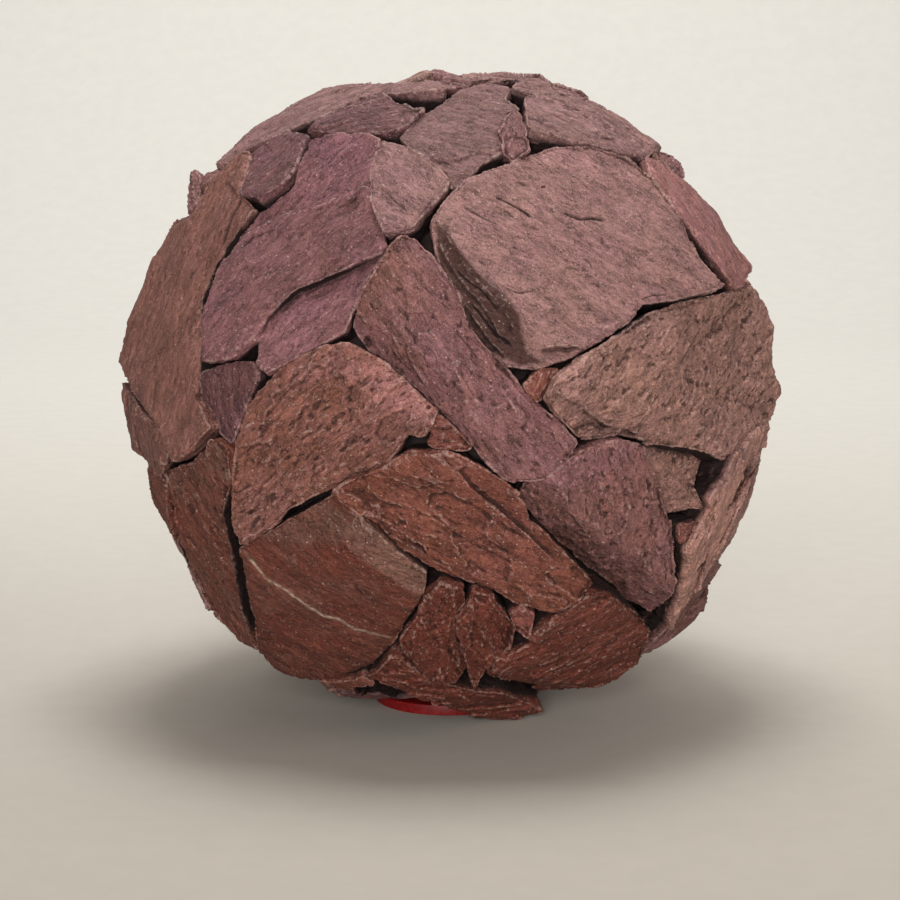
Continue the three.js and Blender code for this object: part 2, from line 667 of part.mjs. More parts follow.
    name: 'right_shoulder_chip', colour: stone.mauve, lift: -1,
    outline: [[655, 150], [668, 152], [679, 160], [683, 168], [684, 177], [672, 170]],
  },
  {
    name: 'small_chip', colour: stone.wine,
    outline: [[510, 616], [524, 608], [535, 616], [529, 640], [516, 632]],
  },
  {
    name: 'bottom_strip_slab', colour: stone.dark, bend: 0.5, hooked: true, lowest: lowestStone,
    outline: [[358, 674], [384, 660], [399, 660], [431, 682], [474, 693], [503, 696], [543, 711],
      [511, 717], [471, 715], [425, 699], [383, 683]],
  },
  {
    name: 'under_lip_slab', colour: stone.wine,
    outline: [[314, 681], [335, 680], [358, 676], [390, 694], [368, 700], [335, 689]],
  },
  {
    name: 'centre_chip', colour: stone.red, lift: -1,
    outline: [[438, 415], [460, 430], [473, 446], [465, 452], [432, 448], [426, 443], [435, 421]],
  },
  {
    name: 'right_chip', colour: stone.wine, lift: -2,
    outline: [[525, 384], [542, 369], [558, 370], [551, 385], [539, 404], [525, 391]],
  },
  {
    name: 'right_under_slab', colour: stone.wine, bend: 0.7, hooked: true, hub: [706, 598],
    outline: [[716, 560], [722, 566], [711, 590], [708, 608], [686, 631], [649, 655], [641, 657],
      [655, 642], [675, 626], [703, 582]],
  },
  {
    name: 'left_under_slab', colour: stone.wine, bend: 0.7,
    outline: [[146, 466], [153, 462], [167, 480], [174, 509], [187, 545], [190, 564], [167, 530],
      [152, 502]],
  },
  {
    name: 'left_spike', colour: stone.wine, thick: 36,
    outline: [[190, 172], [194, 169], [199, 178], [200, 190], [197, 203], [191, 217], [187, 214], [189, 190]],
  },
  {
    name: 'left_shoulder_chip', colour: stone.brown,
    outline: [[200, 185], [208, 175], [222, 168], [216, 180], [203, 190]],
  },
  {
    name: 'right_ledge_chip', colour: stone.red, lift: -3,
    outline: [[673, 528], [702, 521], [697, 533], [680, 545]],
  },
];

const backColours = [
  stone.rose, stone.plum, stone.brown, stone.mauve, stone.russet, stone.tan, stone.pink, stone.red,
  stone.mauve, stone.dark, stone.plum,
];

// The patch in front of the pad that no stone covers
const barePatch = {
  name: 'bare_patch',
  outline: [[352, 690], [383, 684], [425, 700], [474, 716], [474, 732], [420, 732], [360, 716]],
};

const slabs = [...frontSlabs.map(layOutFront), ...patchesBehind().map(layOutBack)];

const mortar = mortarSolid(slabs, 0);
const mortarClearance = mortarSolid(slabs, bedGap);
const padClearance = padSolid(padGap);

function placeOf(slab) {
  const hub = fromFrame(slab.frame, hubOf(slab));
  const reach = Math.max(...slab.ring.map((p) => fromFrame(slab.frame, p).distanceTo(hub)));
  return { hub, reach, clearance: clearanceSolid(slab, jointGap) };
}

const ball = new THREE.Group();
const earlier = [placeOf(layOutFront(barePatch))];
slabs.forEach((slab, index) => {
  const random = seededRandom(7919 * (index + 1));
  let solid = slabSolid(slab, random);
  for (const facet of slab.facets ?? []) solid = cutFacet(solid, slab, facet);
  for (const layer of slab.layers ?? []) solid = splitLayer(solid, slab, layer);
  if (!slab.outline) solid = breakCorner(solid, slab, random);
  const place = placeOf(slab);
  for (const other of earlier) {
    const apart = other.hub.distanceTo(place.hub);
    if (apart < other.reach + place.reach + slabThickness) solid = solid.subtract(other.clearance);
  }
  solid = solid.subtract(mortarClearance).subtract(padClearance);
  solid = largestBody(solid.trimByPlane([0, 0, 1], slab.lowest ?? groundGap)).simplify(shortestEdge);
  ball.add(meshOf(slab.name, solid, slab.colour, 0.85));
  earlier.push(place);
});
ball.add(meshOf('mortar_core', mortar, 0x1c1614, 0.95));
ball.add(meshOf('base_pad', padSolid(0).trimByPlane([0, 0, 1], 0), 0xa00505, 0.6));

export default ball;
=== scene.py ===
# %% [markdown]
# A garden ball faced all round with broken slabs of red and plum slate, bedded on mortar, on a low red pad.
# The frame holds every stone as a plain faceted solid in its right place and size.
# This lesson dresses each of them as split stone: first its shape, then its colour and grain.
# A scan or a sculpt could also give such a ball. Rules can be read, changed and used on the next one.

# %% Load the frame
import json
import math
import random

import bmesh
import bpy
import numpy as np
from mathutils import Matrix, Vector


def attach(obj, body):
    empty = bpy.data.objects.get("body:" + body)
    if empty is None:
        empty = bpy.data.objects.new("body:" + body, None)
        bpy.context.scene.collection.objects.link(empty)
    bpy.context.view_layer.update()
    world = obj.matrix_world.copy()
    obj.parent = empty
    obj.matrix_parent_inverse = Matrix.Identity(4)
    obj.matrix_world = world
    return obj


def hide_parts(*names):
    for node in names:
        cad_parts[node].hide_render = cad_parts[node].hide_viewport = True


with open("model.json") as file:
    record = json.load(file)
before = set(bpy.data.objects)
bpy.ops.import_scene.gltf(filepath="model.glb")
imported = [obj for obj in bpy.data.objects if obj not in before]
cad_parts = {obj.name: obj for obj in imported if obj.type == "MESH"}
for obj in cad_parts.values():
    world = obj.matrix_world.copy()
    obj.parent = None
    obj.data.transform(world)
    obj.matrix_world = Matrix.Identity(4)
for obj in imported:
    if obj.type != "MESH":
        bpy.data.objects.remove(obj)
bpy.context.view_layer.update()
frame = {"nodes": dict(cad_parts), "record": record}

# %% [markdown]
# The camera looks at the ball from a little above its middle, from far enough away that the ball looks round.
# A long lens keeps the stones at the rim in their true shape.
# It could be placed by eye. Named numbers are better here,
# because the cracks and ledges of the stones are set out in its picture.

# %% Camera
BALL_CENTRE = np.array((0, 0, 0.240))
EYE_DISTANCE = 2.0
EYE_RISE = math.radians(8)
PICTURE = 900                    # pixels across the picture
BALL_AT = (448, 396)             # pixel of the ball's centre
FOCAL = 2579.3                   # focal length in pixels
SENSOR = 36.0                    # millimetres

to_eye = np.array((0, -math.cos(EYE_RISE), math.sin(EYE_RISE)))
picture_right = np.array((1.0, 0.0, 0.0))
picture_up = np.array((0, math.sin(EYE_RISE), math.cos(EYE_RISE)))
eye = BALL_CENTRE + EYE_DISTANCE * to_eye
metre_per_pixel = EYE_DISTANCE / FOCAL

aim = (BALL_CENTRE
       + picture_right * (PICTURE / 2 - BALL_AT[0]) * metre_per_pixel
       - picture_up * (PICTURE / 2 - BALL_AT[1]) * metre_per_pixel)
camera = bpy.data.objects.new("camera", bpy.data.cameras.new("camera"))
camera.data.sensor_width = SENSOR
camera.data.sensor_fit = "HORIZONTAL"
camera.data.lens = FOCAL * SENSOR / PICTURE
camera.location = Vector(eye)
camera.rotation_euler = Vector(aim - eye).to_track_quat("-Z", "Y").to_euler()
bpy.context.scene.collection.objects.link(camera)
bpy.context.scene.camera = camera
pixel_size = round(metre_per_pixel * 1000, 3)
print("lens", round(camera.data.lens, 1), "mm, one pixel is", pixel_size, "mm at the ball")


def pixels_of(points):
    """The pixel at which the camera sees each point."""
    offset = points - eye
    depth = -offset @ to_eye
    return np.column_stack((BALL_AT[0] + FOCAL * (offset @ picture_right) / depth,
                            BALL_AT[1] - FOCAL * (offset @ picture_up) / depth))


# %% [markdown]
# The ball stands on a pale floor that runs up behind it in one curve, as paper does in a studio.
# A flat floor with a wall would show a line between them. The curve has none, as in the photo.
# The floor is no part of the ball.


# %% Floor
def floor_profile(depth, height, bend, steps=24):
    """Points of the paper's side view, from the front edge to the top."""
    points = [(-depth, 0.0)]
    for i in range(steps + 1):
        turn = math.pi / 2 * i / steps
        points.append((depth - bend + bend * math.sin(turn), bend - bend * math.cos(turn)))
    points.append((depth, height))
    return points


FLOOR_HALF = 5.0
profile = floor_profile(depth=4.0, height=5.0, bend=1.6)
floor_mesh = bpy.data.meshes.new("floor")
floor_mesh.from_pydata(
    [(side * FLOOR_HALF, y, z) for y, z in profile for side in (-1, 1)], [],
    [(2 * i, 2 * i + 1, 2 * i + 3, 2 * i + 2) for i in range(len(profile) - 1)])
floor_mesh.shade_smooth()
floor = bpy.data.objects.new("floor", floor_mesh)
bpy.context.scene.collection.objects.link(floor)
print("floor:", len(profile), "points from front to top")

# %% [markdown]
# One soft light hangs right over the ball, so its shadow lies under it.
# A second one stands in front, a little above the ball, and a weak one fills the right side.
# The last one lights the wall behind, and the sky is a dim warm grey.
# A sun would throw a hard shadow. Square lamps of about a metre give the photo's soft one.

# %% Lights
BALL_MIDDLE = (0, 0, 0.25)
WALL_MIDDLE = (0, 4.0, 1.4)


def soft_light(name, place, target, size, power, colour):
    """A square soft light that faces a target."""
    lamp = bpy.data.lights.new(name, "AREA")
    lamp.size = size
    lamp.energy = power
    lamp.color = colour
    light = bpy.data.objects.new(name, lamp)
    light.location = place
    light.rotation_euler = (Vector(target) - Vector(place)).to_track_quat("-Z", "Y").to_euler()
    bpy.context.scene.collection.objects.link(light)


soft_light("overhead light", (0, 0, 2.0), BALL_MIDDLE, 0.8, 22, (1.0, 0.975, 0.94))
soft_light("front light", (-0.2, -2.4, 0.65), BALL_MIDDLE, 0.9, 41, (1.0, 0.97, 0.94))
soft_light("right fill", (2.0, -0.9, 0.9), BALL_MIDDLE, 1.0, 9, (1.0, 0.96, 0.91))
soft_light("wall light", (0, 1.4, 3.4), WALL_MIDDLE, 3.0, 112, (1.0, 0.98, 0.95))
sky = bpy.data.worlds.new("studio")
sky.use_nodes = True
sky.node_tree.nodes["Background"].inputs["Color"].default_value = (0.9, 0.88, 0.84, 1)
sky.node_tree.nodes["Background"].inputs["Strength"].default_value = 0.15
bpy.context.scene.world = sky
bpy.context.scene.view_settings.view_transform = "Standard"
print("four soft lights and a dim sky")

# %% [markdown]
# Both the shapes and the colours below are made by node trees.
# Linking every socket by hand is long and hides the idea, so a few small helpers do it.
# One adds a node and feeds its inputs, and the others are sums and noises.


# %% Helpers for node trees
def feed(tree, node, feeds):
    """Feeds inputs of a node, by name or number: with a value, or with another node's output."""
    for key, value in feeds.items():
        if isinstance(value, bpy.types.NodeSocket):
            tree.links.new(value, node.inputs[key])
        else:
            node.inputs[key].default_value = value
    return node


def add_node(tree, kind, feeds=None, **settings):
    node = tree.nodes.new(kind)
    for name, value in settings.items():
        setattr(node, name, value)
    return feed(tree, node, feeds or {})


def maths(tree, operation, *values, clamp=False):
    feeds = dict(enumerate(values))
    return add_node(tree, "ShaderNodeMath", feeds, operation=operation, use_clamp=clamp).outputs[0]


def vectors(tree, operation, *values):
    node = add_node(tree, "ShaderNodeVectorMath", dict(enumerate(values)), operation=operation)
    return node.outputs["Value" if operation in {"DOT_PRODUCT", "LENGTH"} else "Vector"]


def scaled(tree, vector, factor):
    node = add_node(tree, "ShaderNodeVectorMath", {0: vector, "Scale": factor}, operation="SCALE")
    return node.outputs["Vector"]


def between(tree, value, low, high, to_low=0.0, to_high=1.0):
    """Runs smoothly from to_low to to_high while value runs from low to high."""
    feeds = {"Value": value, "From Min": low, "From Max": high, "To Min": to_low, "To Max": to_high}
    return add_node(tree, "ShaderNodeMapRange", feeds, interpolation_type="SMOOTHSTEP").outputs["Result"]


def noise(tree, where, scale, detail=3.0, roughness=0.55, distortion=0.0):
    feeds = {"Vector": where, "Scale": scale, "Detail": detail, "Roughness": roughness,
             "Distortion": distortion}
    return add_node(tree, "ShaderNodeTexNoise", feeds).outputs[0]


def new_group(name, kind, inputs, outputs):
    """A node group with named sockets, with its input and output nodes."""
    tree = bpy.data.node_groups.new(name, kind)
    for socket_name, kind_name, value in inputs:
        socket = tree.interface.new_socket(
            socket_name, in_out="INPUT", socket_type="NodeSocket" + kind_name)
        if value is not None:
            socket.default_value = value
    for socket_name, kind_name in outputs:
        tree.interface.new_socket(socket_name, in_out="OUTPUT", socket_type="NodeSocket" + kind_name)
    return tree, tree.nodes.new("NodeGroupInput").outputs, tree.nodes.new("NodeGroupOutput").inputs


print("node helpers ready")

# %% [markdown]
# Slate splits along its layers. A split face is nearly flat, with low steps where a layer ends.
# The broken edge shows the layers as thin ribs, and its arris is chipped.
# Sculpting would give each stone this by hand, and a displacement picture would repeat itself.
# The same rule shapes every stone here, so one Geometry Nodes tree makes them all, with named sizes.
# Face is the direction that the split face looks in, and Grain is the direction of its streaks.

# %% Inputs of the split
# Between these two distances the sides of a stone get painted shade, deep in its joint.
JOINT_TOP, JOINT_DEEP = 0.2455, 0.2380      # a joint darkens between these distances from the ball's centre
SWELLS, BROAD_RIBS, BITES, WRINKLES = 11.0, 38.0, 80.0, 120.0               # waves per metre
POCKS, RIBS = 200.0, 210.0                                                  # waves per metre

split, given, result = new_group("split stone", "GeometryNodeTree", [
    ("Geometry", "Geometry", None),
    ("Seed", "Vector", (0, 0, 0)),
    ("Face", "Vector", (0, 0, 1)),
    ("Grain", "Vector", (1, 0, 0)),
    ("Swell", "Float", 0.001),
    ("Step", "Float", 0.0008),
    ("Step Length", "Float", 0.06),
    ("Flake", "Float", 0.0005),
    ("Flake Length", "Float", 0.014),
    ("Roughness", "Float", 0.0003),
    ("Rib", "Float", 0.0010),
    ("Fill", "Float", 0.0008),
    ("Chip", "Float", 0.003),
    ("Ball Centre", "Vector", tuple(BALL_CENTRE)),
    ("Finish", "Material", None),
], [("Geometry", "Geometry")])
print("sizes of a split:", ", ".join(item.name for item in split.interface.items_tree))

# %% [markdown]
# The tree needs to know where a stone has its edges and hollows, and no node says so.
# But a point on an edge stands out from the average of its neighbours, and a point in a hollow lies below it.
# So the places are blurred, and the distance from the blurred skin tells one from the other.


# %% Helpers for shapes
def blurred(tree, field, rounds, kind="FLOAT_VECTOR"):
    node = add_node(tree, "GeometryNodeBlurAttribute", {"Iterations": rounds}, data_type=kind)
    tree.links.new(field, next(s for s in node.inputs if s.name == "Value" and s.enabled))
    return next(s for s in node.outputs if s.name == "Value" and s.enabled)


def bulge(tree, place, normal, rounds):
    """How far each point stands out from its surroundings: below zero in a hollow."""
    away = vectors(tree, "SUBTRACT", place, blurred(tree, place, rounds))
    return vectors(tree, "DOT_PRODUCT", away, normal)


def stored(tree, geometry, name, value, kind):
    node = add_node(tree, "GeometryNodeStoreNamedAttribute", {"Geometry": geometry, "Name": name},
                    data_type=kind, domain="POINT")
    tree.links.new(value, next(s for s in node.inputs if s.name == "Value" and s.enabled))
    return node.outputs["Geometry"]


def dress(tree, geometry, finish, end):
    """The last two steps of a tree: everything real, and with its material."""
    real = add_node(tree, "GeometryNodeRealizeInstances", {"Geometry": geometry})
    dressed = add_node(tree, "GeometryNodeSetMaterial",
                       {"Geometry": real.outputs["Geometry"], "Material": finish})
    tree.links.new(dressed.outputs["Geometry"], end)


def inputs_of(tree):
    """What a modifier calls each named input of a tree."""
    return {item.name: item.identifier for item in tree.interface.items_tree if item.in_out == "INPUT"}


print("shape helpers ready")

# %% [markdown]
# Each part of a stone breaks in its own way. The split face swells gently and goes down in steps and flakes.
# The sides show the layers as ribs. Small bites are missing from the edges, and all of it is a little rough.
# Each way is a function that gives one height, so each can be read and changed alone.


# %% Faces, sides and edges
def layers(tree, where, length, height, count, detail, roughness, sharp):
    """Steps down through the layers: level ground, then a short steep fall."""
    level = noise(tree, where, maths(tree, "DIVIDE", 1.0, length), detail, roughness)
    level = maths(tree, "MULTIPLY", level, count)
    whole = maths(tree, "FLOOR", level)
    part = between(tree, maths(tree, "FRACT", level), 1.0 - sharp, 1.0)
    slope = maths(tree, "MULTIPLY", maths(tree, "FRACT", level), 0.25)
    steps = maths(tree, "ADD", maths(tree, "ADD", whole, maths(tree, "MULTIPLY", part, 0.75)), slope)
    centred = maths(tree, "SUBTRACT", steps, count / 2)
    return maths(tree, "MULTIPLY", centred, height)


def face_relief(tree, given, stone_place, drawn_out):
    swell = maths(tree, "SUBTRACT", noise(tree, stone_place, SWELLS, 2.0), 0.5)
    swell = maths(tree, "MULTIPLY", maths(tree, "MULTIPLY", swell, 3.2), given["Swell"])
    steps = layers(tree, drawn_out, given["Step Length"], given["Step"],
                   count=9.0, detail=4.0, roughness=0.55, sharp=0.16)
    flakes = layers(tree, drawn_out, given["Flake Length"], given["Flake"],
                    count=5.0, detail=3.0, roughness=0.6, sharp=0.3)
    return maths(tree, "ADD", maths(tree, "ADD", swell, steps), flakes)


def side_relief(tree, given, stone_place):
    """Ribs along the layers, and the fill that pushes a side out into its joint."""
    layered = vectors(tree, "MULTIPLY", stone_place, (0.22, 0.22, 1.0))
    ribs = maths(tree, "SUBTRACT", noise(tree, layered, RIBS, 3.0, 0.75), 0.5)
    broad = maths(tree, "SUBTRACT", noise(tree, stone_place, BROAD_RIBS, 3.0, 0.6), 0.5)
    ribs = maths(tree, "ADD", maths(tree, "MULTIPLY", ribs, 2.4), maths(tree, "MULTIPLY", broad, 2.2))
    return maths(tree, "ADD", maths(tree, "MULTIPLY", ribs, given["Rib"]), given["Fill"])


def fine_relief(tree, given, stone_place, drawn_out):
    """Pocks and wrinkles."""
    rough = maths(tree, "SUBTRACT", noise(tree, stone_place, POCKS, 4.0, 0.75), 0.5)
    wrinkle = maths(tree, "SUBTRACT", noise(tree, drawn_out, WRINKLES, 3.0, 0.6, 0.5), 0.5)
    wrinkle = maths(tree, "ABSOLUTE", wrinkle)
    rough = maths(tree, "ADD", maths(tree, "MULTIPLY", rough, 2.2), maths(tree, "MULTIPLY", wrinkle, 2.4))
    return maths(tree, "MULTIPLY", maths(tree, "SUBTRACT", rough, 0.2), given["Roughness"])


def edge_bites(tree, given, stone_place, stands_out):
    edge = between(tree, stands_out, 0.00015, 0.0011)
    bites = between(tree, noise(tree, stone_place, BITES, 4.0, 0.7), 0.46, 0.66)
    return maths(tree, "MULTIPLY", maths(tree, "MULTIPLY", edge, bites), given["Chip"])


print("a stone breaks in four ways: face, side, fine, edge")

# %% [markdown]
# The tree now joins these heights. The face moves in the direction it looks, the rest along the normals.
# Every noise reads a place in the stone's own directions, so streaks and steps turn with the stone.
# That place is kept on the mesh, and the colours read it later.
# Wear and dip are measured after the move, so the paler edges and the darker hollows land on the new edges
# and hollows.


# %% The tree that splits a stone
def build_split_tree(tree, given, result):
    place = tree.nodes.new("GeometryNodeInputPosition").outputs["Position"]
    normal = tree.nodes.new("GeometryNodeInputNormal").outputs["Normal"]
    softened = add_node(tree, "GeometryNodeSetPosition",
                        {"Geometry": given["Geometry"], "Position": blurred(tree, place, 1)})

    across = vectors(tree, "CROSS_PRODUCT", given["Face"], given["Grain"])
    along_grain = vectors(tree, "DOT_PRODUCT", place, given["Grain"])
    over_grain = vectors(tree, "DOT_PRODUCT", place, across)
    through = vectors(tree, "DOT_PRODUCT", place, given["Face"])
    stone_place = vectors(tree, "ADD", given["Seed"], add_node(
        tree, "ShaderNodeCombineXYZ", {0: along_grain, 1: over_grain, 2: through}).outputs[0])
    geometry = stored(tree, softened.outputs["Geometry"], "stone_place", stone_place, "FLOAT_VECTOR")
    stone_place = add_node(tree, "GeometryNodeInputNamedAttribute", {"Name": "stone_place"},
                           data_type="FLOAT_VECTOR").outputs["Attribute"]
    drawn_out = vectors(tree, "MULTIPLY", stone_place, (0.55, 1.0, 1.0))

    facing = vectors(tree, "DOT_PRODUCT", normal, given["Face"])
    on_face = between(tree, facing, 0.45, 0.85)
    on_side = between(tree, maths(tree, "ABSOLUTE", facing), 0.75, 0.35)
    face_height = face_relief(tree, given, stone_place, drawn_out)
    face_move = scaled(tree, given["Face"], maths(tree, "MULTIPLY", face_height, on_face))
    side_height = maths(tree, "MULTIPLY", side_relief(tree, given, stone_place), on_side)
    rough = fine_relief(tree, given, stone_place, drawn_out)
    chips = edge_bites(tree, given, stone_place, bulge(tree, place, normal, 12))
    along_normal = maths(tree, "SUBTRACT", maths(tree, "ADD", side_height, rough), chips)
    move = vectors(tree, "ADD", face_move, scaled(tree, normal, along_normal))
    moved = add_node(tree, "GeometryNodeSetPosition", {"Geometry": geometry, "Offset": move})

    millimetres = 1000.0
    wear = maths(tree, "MULTIPLY", bulge(tree, place, normal, 4), millimetres)
    geometry = stored(tree, moved.outputs["Geometry"], "wear", wear, "FLOAT")
    dip = maths(tree, "MULTIPLY", bulge(tree, place, normal, 20), millimetres)
    geometry = stored(tree, geometry, "dip", dip, "FLOAT")
    height = vectors(tree, "LENGTH", vectors(tree, "SUBTRACT", place, given["Ball Centre"]))
    # The sides of a stone down in its joint are marked, and the material paints shade on them.
    deep = maths(tree, "MULTIPLY", on_side, between(tree, height, JOINT_TOP, JOINT_DEEP))
    geometry = stored(tree, geometry, "deep", deep, "FLOAT")
    dress(tree, geometry, given["Finish"], result["Geometry"])


build_split_tree(split, given, result)
split_inputs = inputs_of(split)
print("split stone tree:", len(split.nodes), "nodes, inputs", ", ".join(split_inputs))

# %% [markdown]
# The stones come from several beds of slate, so no two look alike. Some split flat, some in ribs or steps.
# Chance could decide all of it, but the stones in the photo are known one by one.
# Each has a line: how it split, which way its streaks run in the picture, and how light it is.
# The streaks are given in degrees, from a line to the right, turning down.
# Tone makes the colour lighter or darker, and blush turns it from brown to plum.
# The stones at the back, which the photo doesn't show, get theirs by chance with a fixed seed.

# %% How each stone split
SPLITS = {
    # the sizes are millimetres
    "flat": dict(Swell=1.4, Step=1.1, Flake=0.55, Roughness=0.60, Chip=3.2),
    "ribbed": dict(Swell=1.5, Step=1.5, Flake=0.80, Roughness=0.75, Chip=3.4),
    "layered": dict(Swell=1.6, Step=2.4, Flake=1.05, Roughness=0.80, Chip=3.8),
    "rough": dict(Swell=2.0, Step=1.9, Flake=1.10, Roughness=0.90, Chip=3.8),
}
SPLITS["flat"].update({"Step Length": 60, "Flake Length": 14, "Rib": 2.0})
SPLITS["ribbed"].update({"Step Length": 48, "Flake Length": 12, "Rib": 2.1})
SPLITS["layered"].update({"Step Length": 52, "Flake Length": 15, "Rib": 2.3})
SPLITS["rough"].update({"Step Length": 38, "Flake Length": 11, "Rib": 2.4})

FRONT_STONES = {
    # name: (split, streaks, tone, blush)
    "great_slab": ("flat", 22, 1.02, 0.55),
    "long_bar": ("ribbed", 54, 1.02, 0.55),
    "right_slab": ("rough", -20, 1.22, 0.25),
    "ridge_slab": ("rough", 62, 1.10, 0.40),
    "layered_slab": ("layered", 36, 0.94, 0.15),
    "russet_slab": ("rough", -35, 1.14, 0.25),
    "veined_slab": ("flat", 30, 0.94, 0.22),
    "plum_slab": ("flat", -38, 0.92, 0.70),
    "left_slab": ("flat", -68, 1.12, 0.30),
    "left_tall_slab": ("ribbed", 82, 0.92, 0.35),
    "pale_right_slab": ("ribbed", -66, 1.62, 0.20),
    "bottom_right_slab": ("rough", -24, 0.94, 0.00),
    "upper_slab": ("flat", 28, 0.72, 0.75),
    "upper_right_slab": ("ribbed", 24, 0.86, 0.60),
    "top_left_slab": ("flat", -30, 0.86, 0.60),
    "shield_slab": ("flat", 50, 0.90, 0.60),
    "dark_wedge": ("flat", 70, 0.66, 0.60),
    "brow_slab": ("flat", -40, 0.66, 0.65),
    "right_strap_slab": ("flat", 50, 1.48, 0.50),
    "rough_top_slab": ("rough", 10, 0.62, 0.70),
    "left_low_slab": ("ribbed", 78, 0.80, 0.30),
    "keel_left_slab": ("rough", 84, 0.85, -0.20),
    "keel_right_slab": ("rough", 70, 0.89, -0.20),
    "crown_slab": ("layered", 4, 0.85, 0.60),
    "crown_end": ("layered", 8, 0.80, 0.60),
    "bottom_strip_slab": ("layered", 12, 1.00, -0.20),
}
SLOT_OF = {row["node"]: row["material_slot"] for row in frame["record"]["subparts"]}
stone_names = [name for name, slot in SLOT_OF.items() if slot.startswith("slate_")]
print(len(stone_names), "stones,", len(FRONT_STONES), "of them described by hand")

# %% [markdown]
# The tree asks for two directions of each stone: where its split face looks, and how its streaks run.
# They could be typed in, but the face is there to be measured on the solid.
# The streaks are known as a slant in the picture, which is turned onto that face.


# %% Directions of a stone
def mesh_arrays(mesh):
    """Points, face normals and face areas."""
    points = np.empty(len(mesh.vertices) * 3)
    mesh.vertices.foreach_get("co", points)
    normals = np.empty(len(mesh.polygons) * 3)
    mesh.polygons.foreach_get("normal", normals)
    areas = np.empty(len(mesh.polygons))
    mesh.polygons.foreach_get("area", areas)
    return points.reshape(-1, 3), normals.reshape(-1, 3), areas


def unit(vector):
    return vector / np.linalg.norm(vector)


def face_direction(mesh):
    """The direction in which a slab's split face looks."""
    points, normals, areas = mesh_arrays(mesh)
    outward = unit(points.mean(axis=0) - BALL_CENTRE)
    outer = normals @ outward > 0.7
    return unit((normals[outer] * areas[outer, None]).sum(axis=0))


def streak_direction(face, degrees):
    turn = math.radians(degrees)
    wanted = picture_right * math.cos(turn) - picture_up * math.sin(turn)
    return unit(wanted - face * (wanted @ face))


great_face = face_direction(frame["nodes"]["great_slab"].data)
print("the great slab looks towards", [round(float(v), 2) for v in great_face])

# %% [markdown]
# A CAD solid comes as loose triangles, and a remesh may leave a crumb beside the stone.
# So a copy is merged before anything is done to it, and afterwards only its largest part is kept.
# The frame's own nodes stay untouched, because the ball is checked against them.


# %% Clean copies
def take_result(piece):
    """Turns what the modifiers of a piece make into its plain mesh."""
    depsgraph = bpy.context.evaluated_depsgraph_get()
    old = piece.data
    piece.data = bpy.data.meshes.new_from_object(piece.evaluated_get(depsgraph))
    piece.modifiers.clear()
    bpy.data.meshes.remove(old)


def copy_of(node_name, piece_name):
    """A copy of a CAD node's mesh with its loose triangles merged."""
    mesh = frame["nodes"][node_name].data.copy()
    mesh.name = piece_name
    shell = bmesh.new()
    shell.from_mesh(mesh)
    bmesh.ops.remove_doubles(shell, verts=shell.verts, dist=1e-6)
    shell.to_mesh(mesh)
    shell.free()
    piece = bpy.data.objects.new(piece_name, mesh)
    bpy.context.scene.collection.objects.link(piece)
    return piece


def keep_largest_part(mesh):
    """Removes crumbs that a remesh leaves loose beside the piece."""
    ends = np.empty(len(mesh.edges) * 2, np.int32)
    mesh.edges.foreach_get("vertices", ends)
    first, second = ends.reshape(-1, 2).T
    label = np.arange(len(mesh.vertices))
    while True:
        lowest = np.minimum(label[first], label[second])
        joined = label.copy()
        np.minimum.at(joined, first, lowest)
        np.minimum.at(joined, second, lowest)
        joined = joined[joined]
        if (joined == label).all():
            break
        label = joined
    kept = np.bincount(label).argmax()
    if (label == kept).all():
        return 0
    shell = bmesh.new()
    shell.from_mesh(mesh)
    loose = [v for v, part in zip(shell.verts, label) if part != kept]
    bmesh.ops.delete(shell, geom=loose, context="VERTS")
    shell.to_mesh(mesh)
    shell.free()
    return len(loose)


print("helpers for copies ready")

# %% [markdown]
# A slab's solid has a few large triangles, and split stone has thousands of small facets.
# Subdividing would follow the long thin triangles and leave the skin uneven.
# A voxel remesh gives any closed solid an even skin of small squares, which a rule can move in and out.
# The stones that the camera sees get a finer skin than those at the back.

# %% Even skins
FINE, COARSE = 0.00102, 0.0019
generator = random.Random(20817)

stones = {}
for name in stone_names:
    piece = copy_of(name, name + "_stone")
    face = face_direction(piece.data)
    seen = name in FRONT_STONES or not name.startswith("back_")
    skin = piece.modifiers.new("even skin", "REMESH")
    skin.mode = "VOXEL"
    skin.voxel_size = FINE if seen else COARSE
    skin.use_smooth_shade = True
    kind, degrees, tone, blush = FRONT_STONES.get(name, (
        generator.choice(["flat", "ribbed", "layered", "rough"]), generator.uniform(0, 180),
        generator.uniform(0.85, 1.08), generator.uniform(0.05, 0.75)))
    stones[name] = dict(piece=piece, face=face, grain=streak_direction(face, degrees), kind=kind,
                        tone=tone, blush=blush, seed=[generator.uniform(0, 9) for _ in range(3)])
loose_points = 0
for stone in stones.values():
    take_result(stone["piece"])
    loose_points += keep_largest_part(stone["piece"].data)
print("points of loose crumbs removed:", loose_points)
print("skins:", sum(len(s["piece"].data.polygons) for s in stones.values()), "squares")
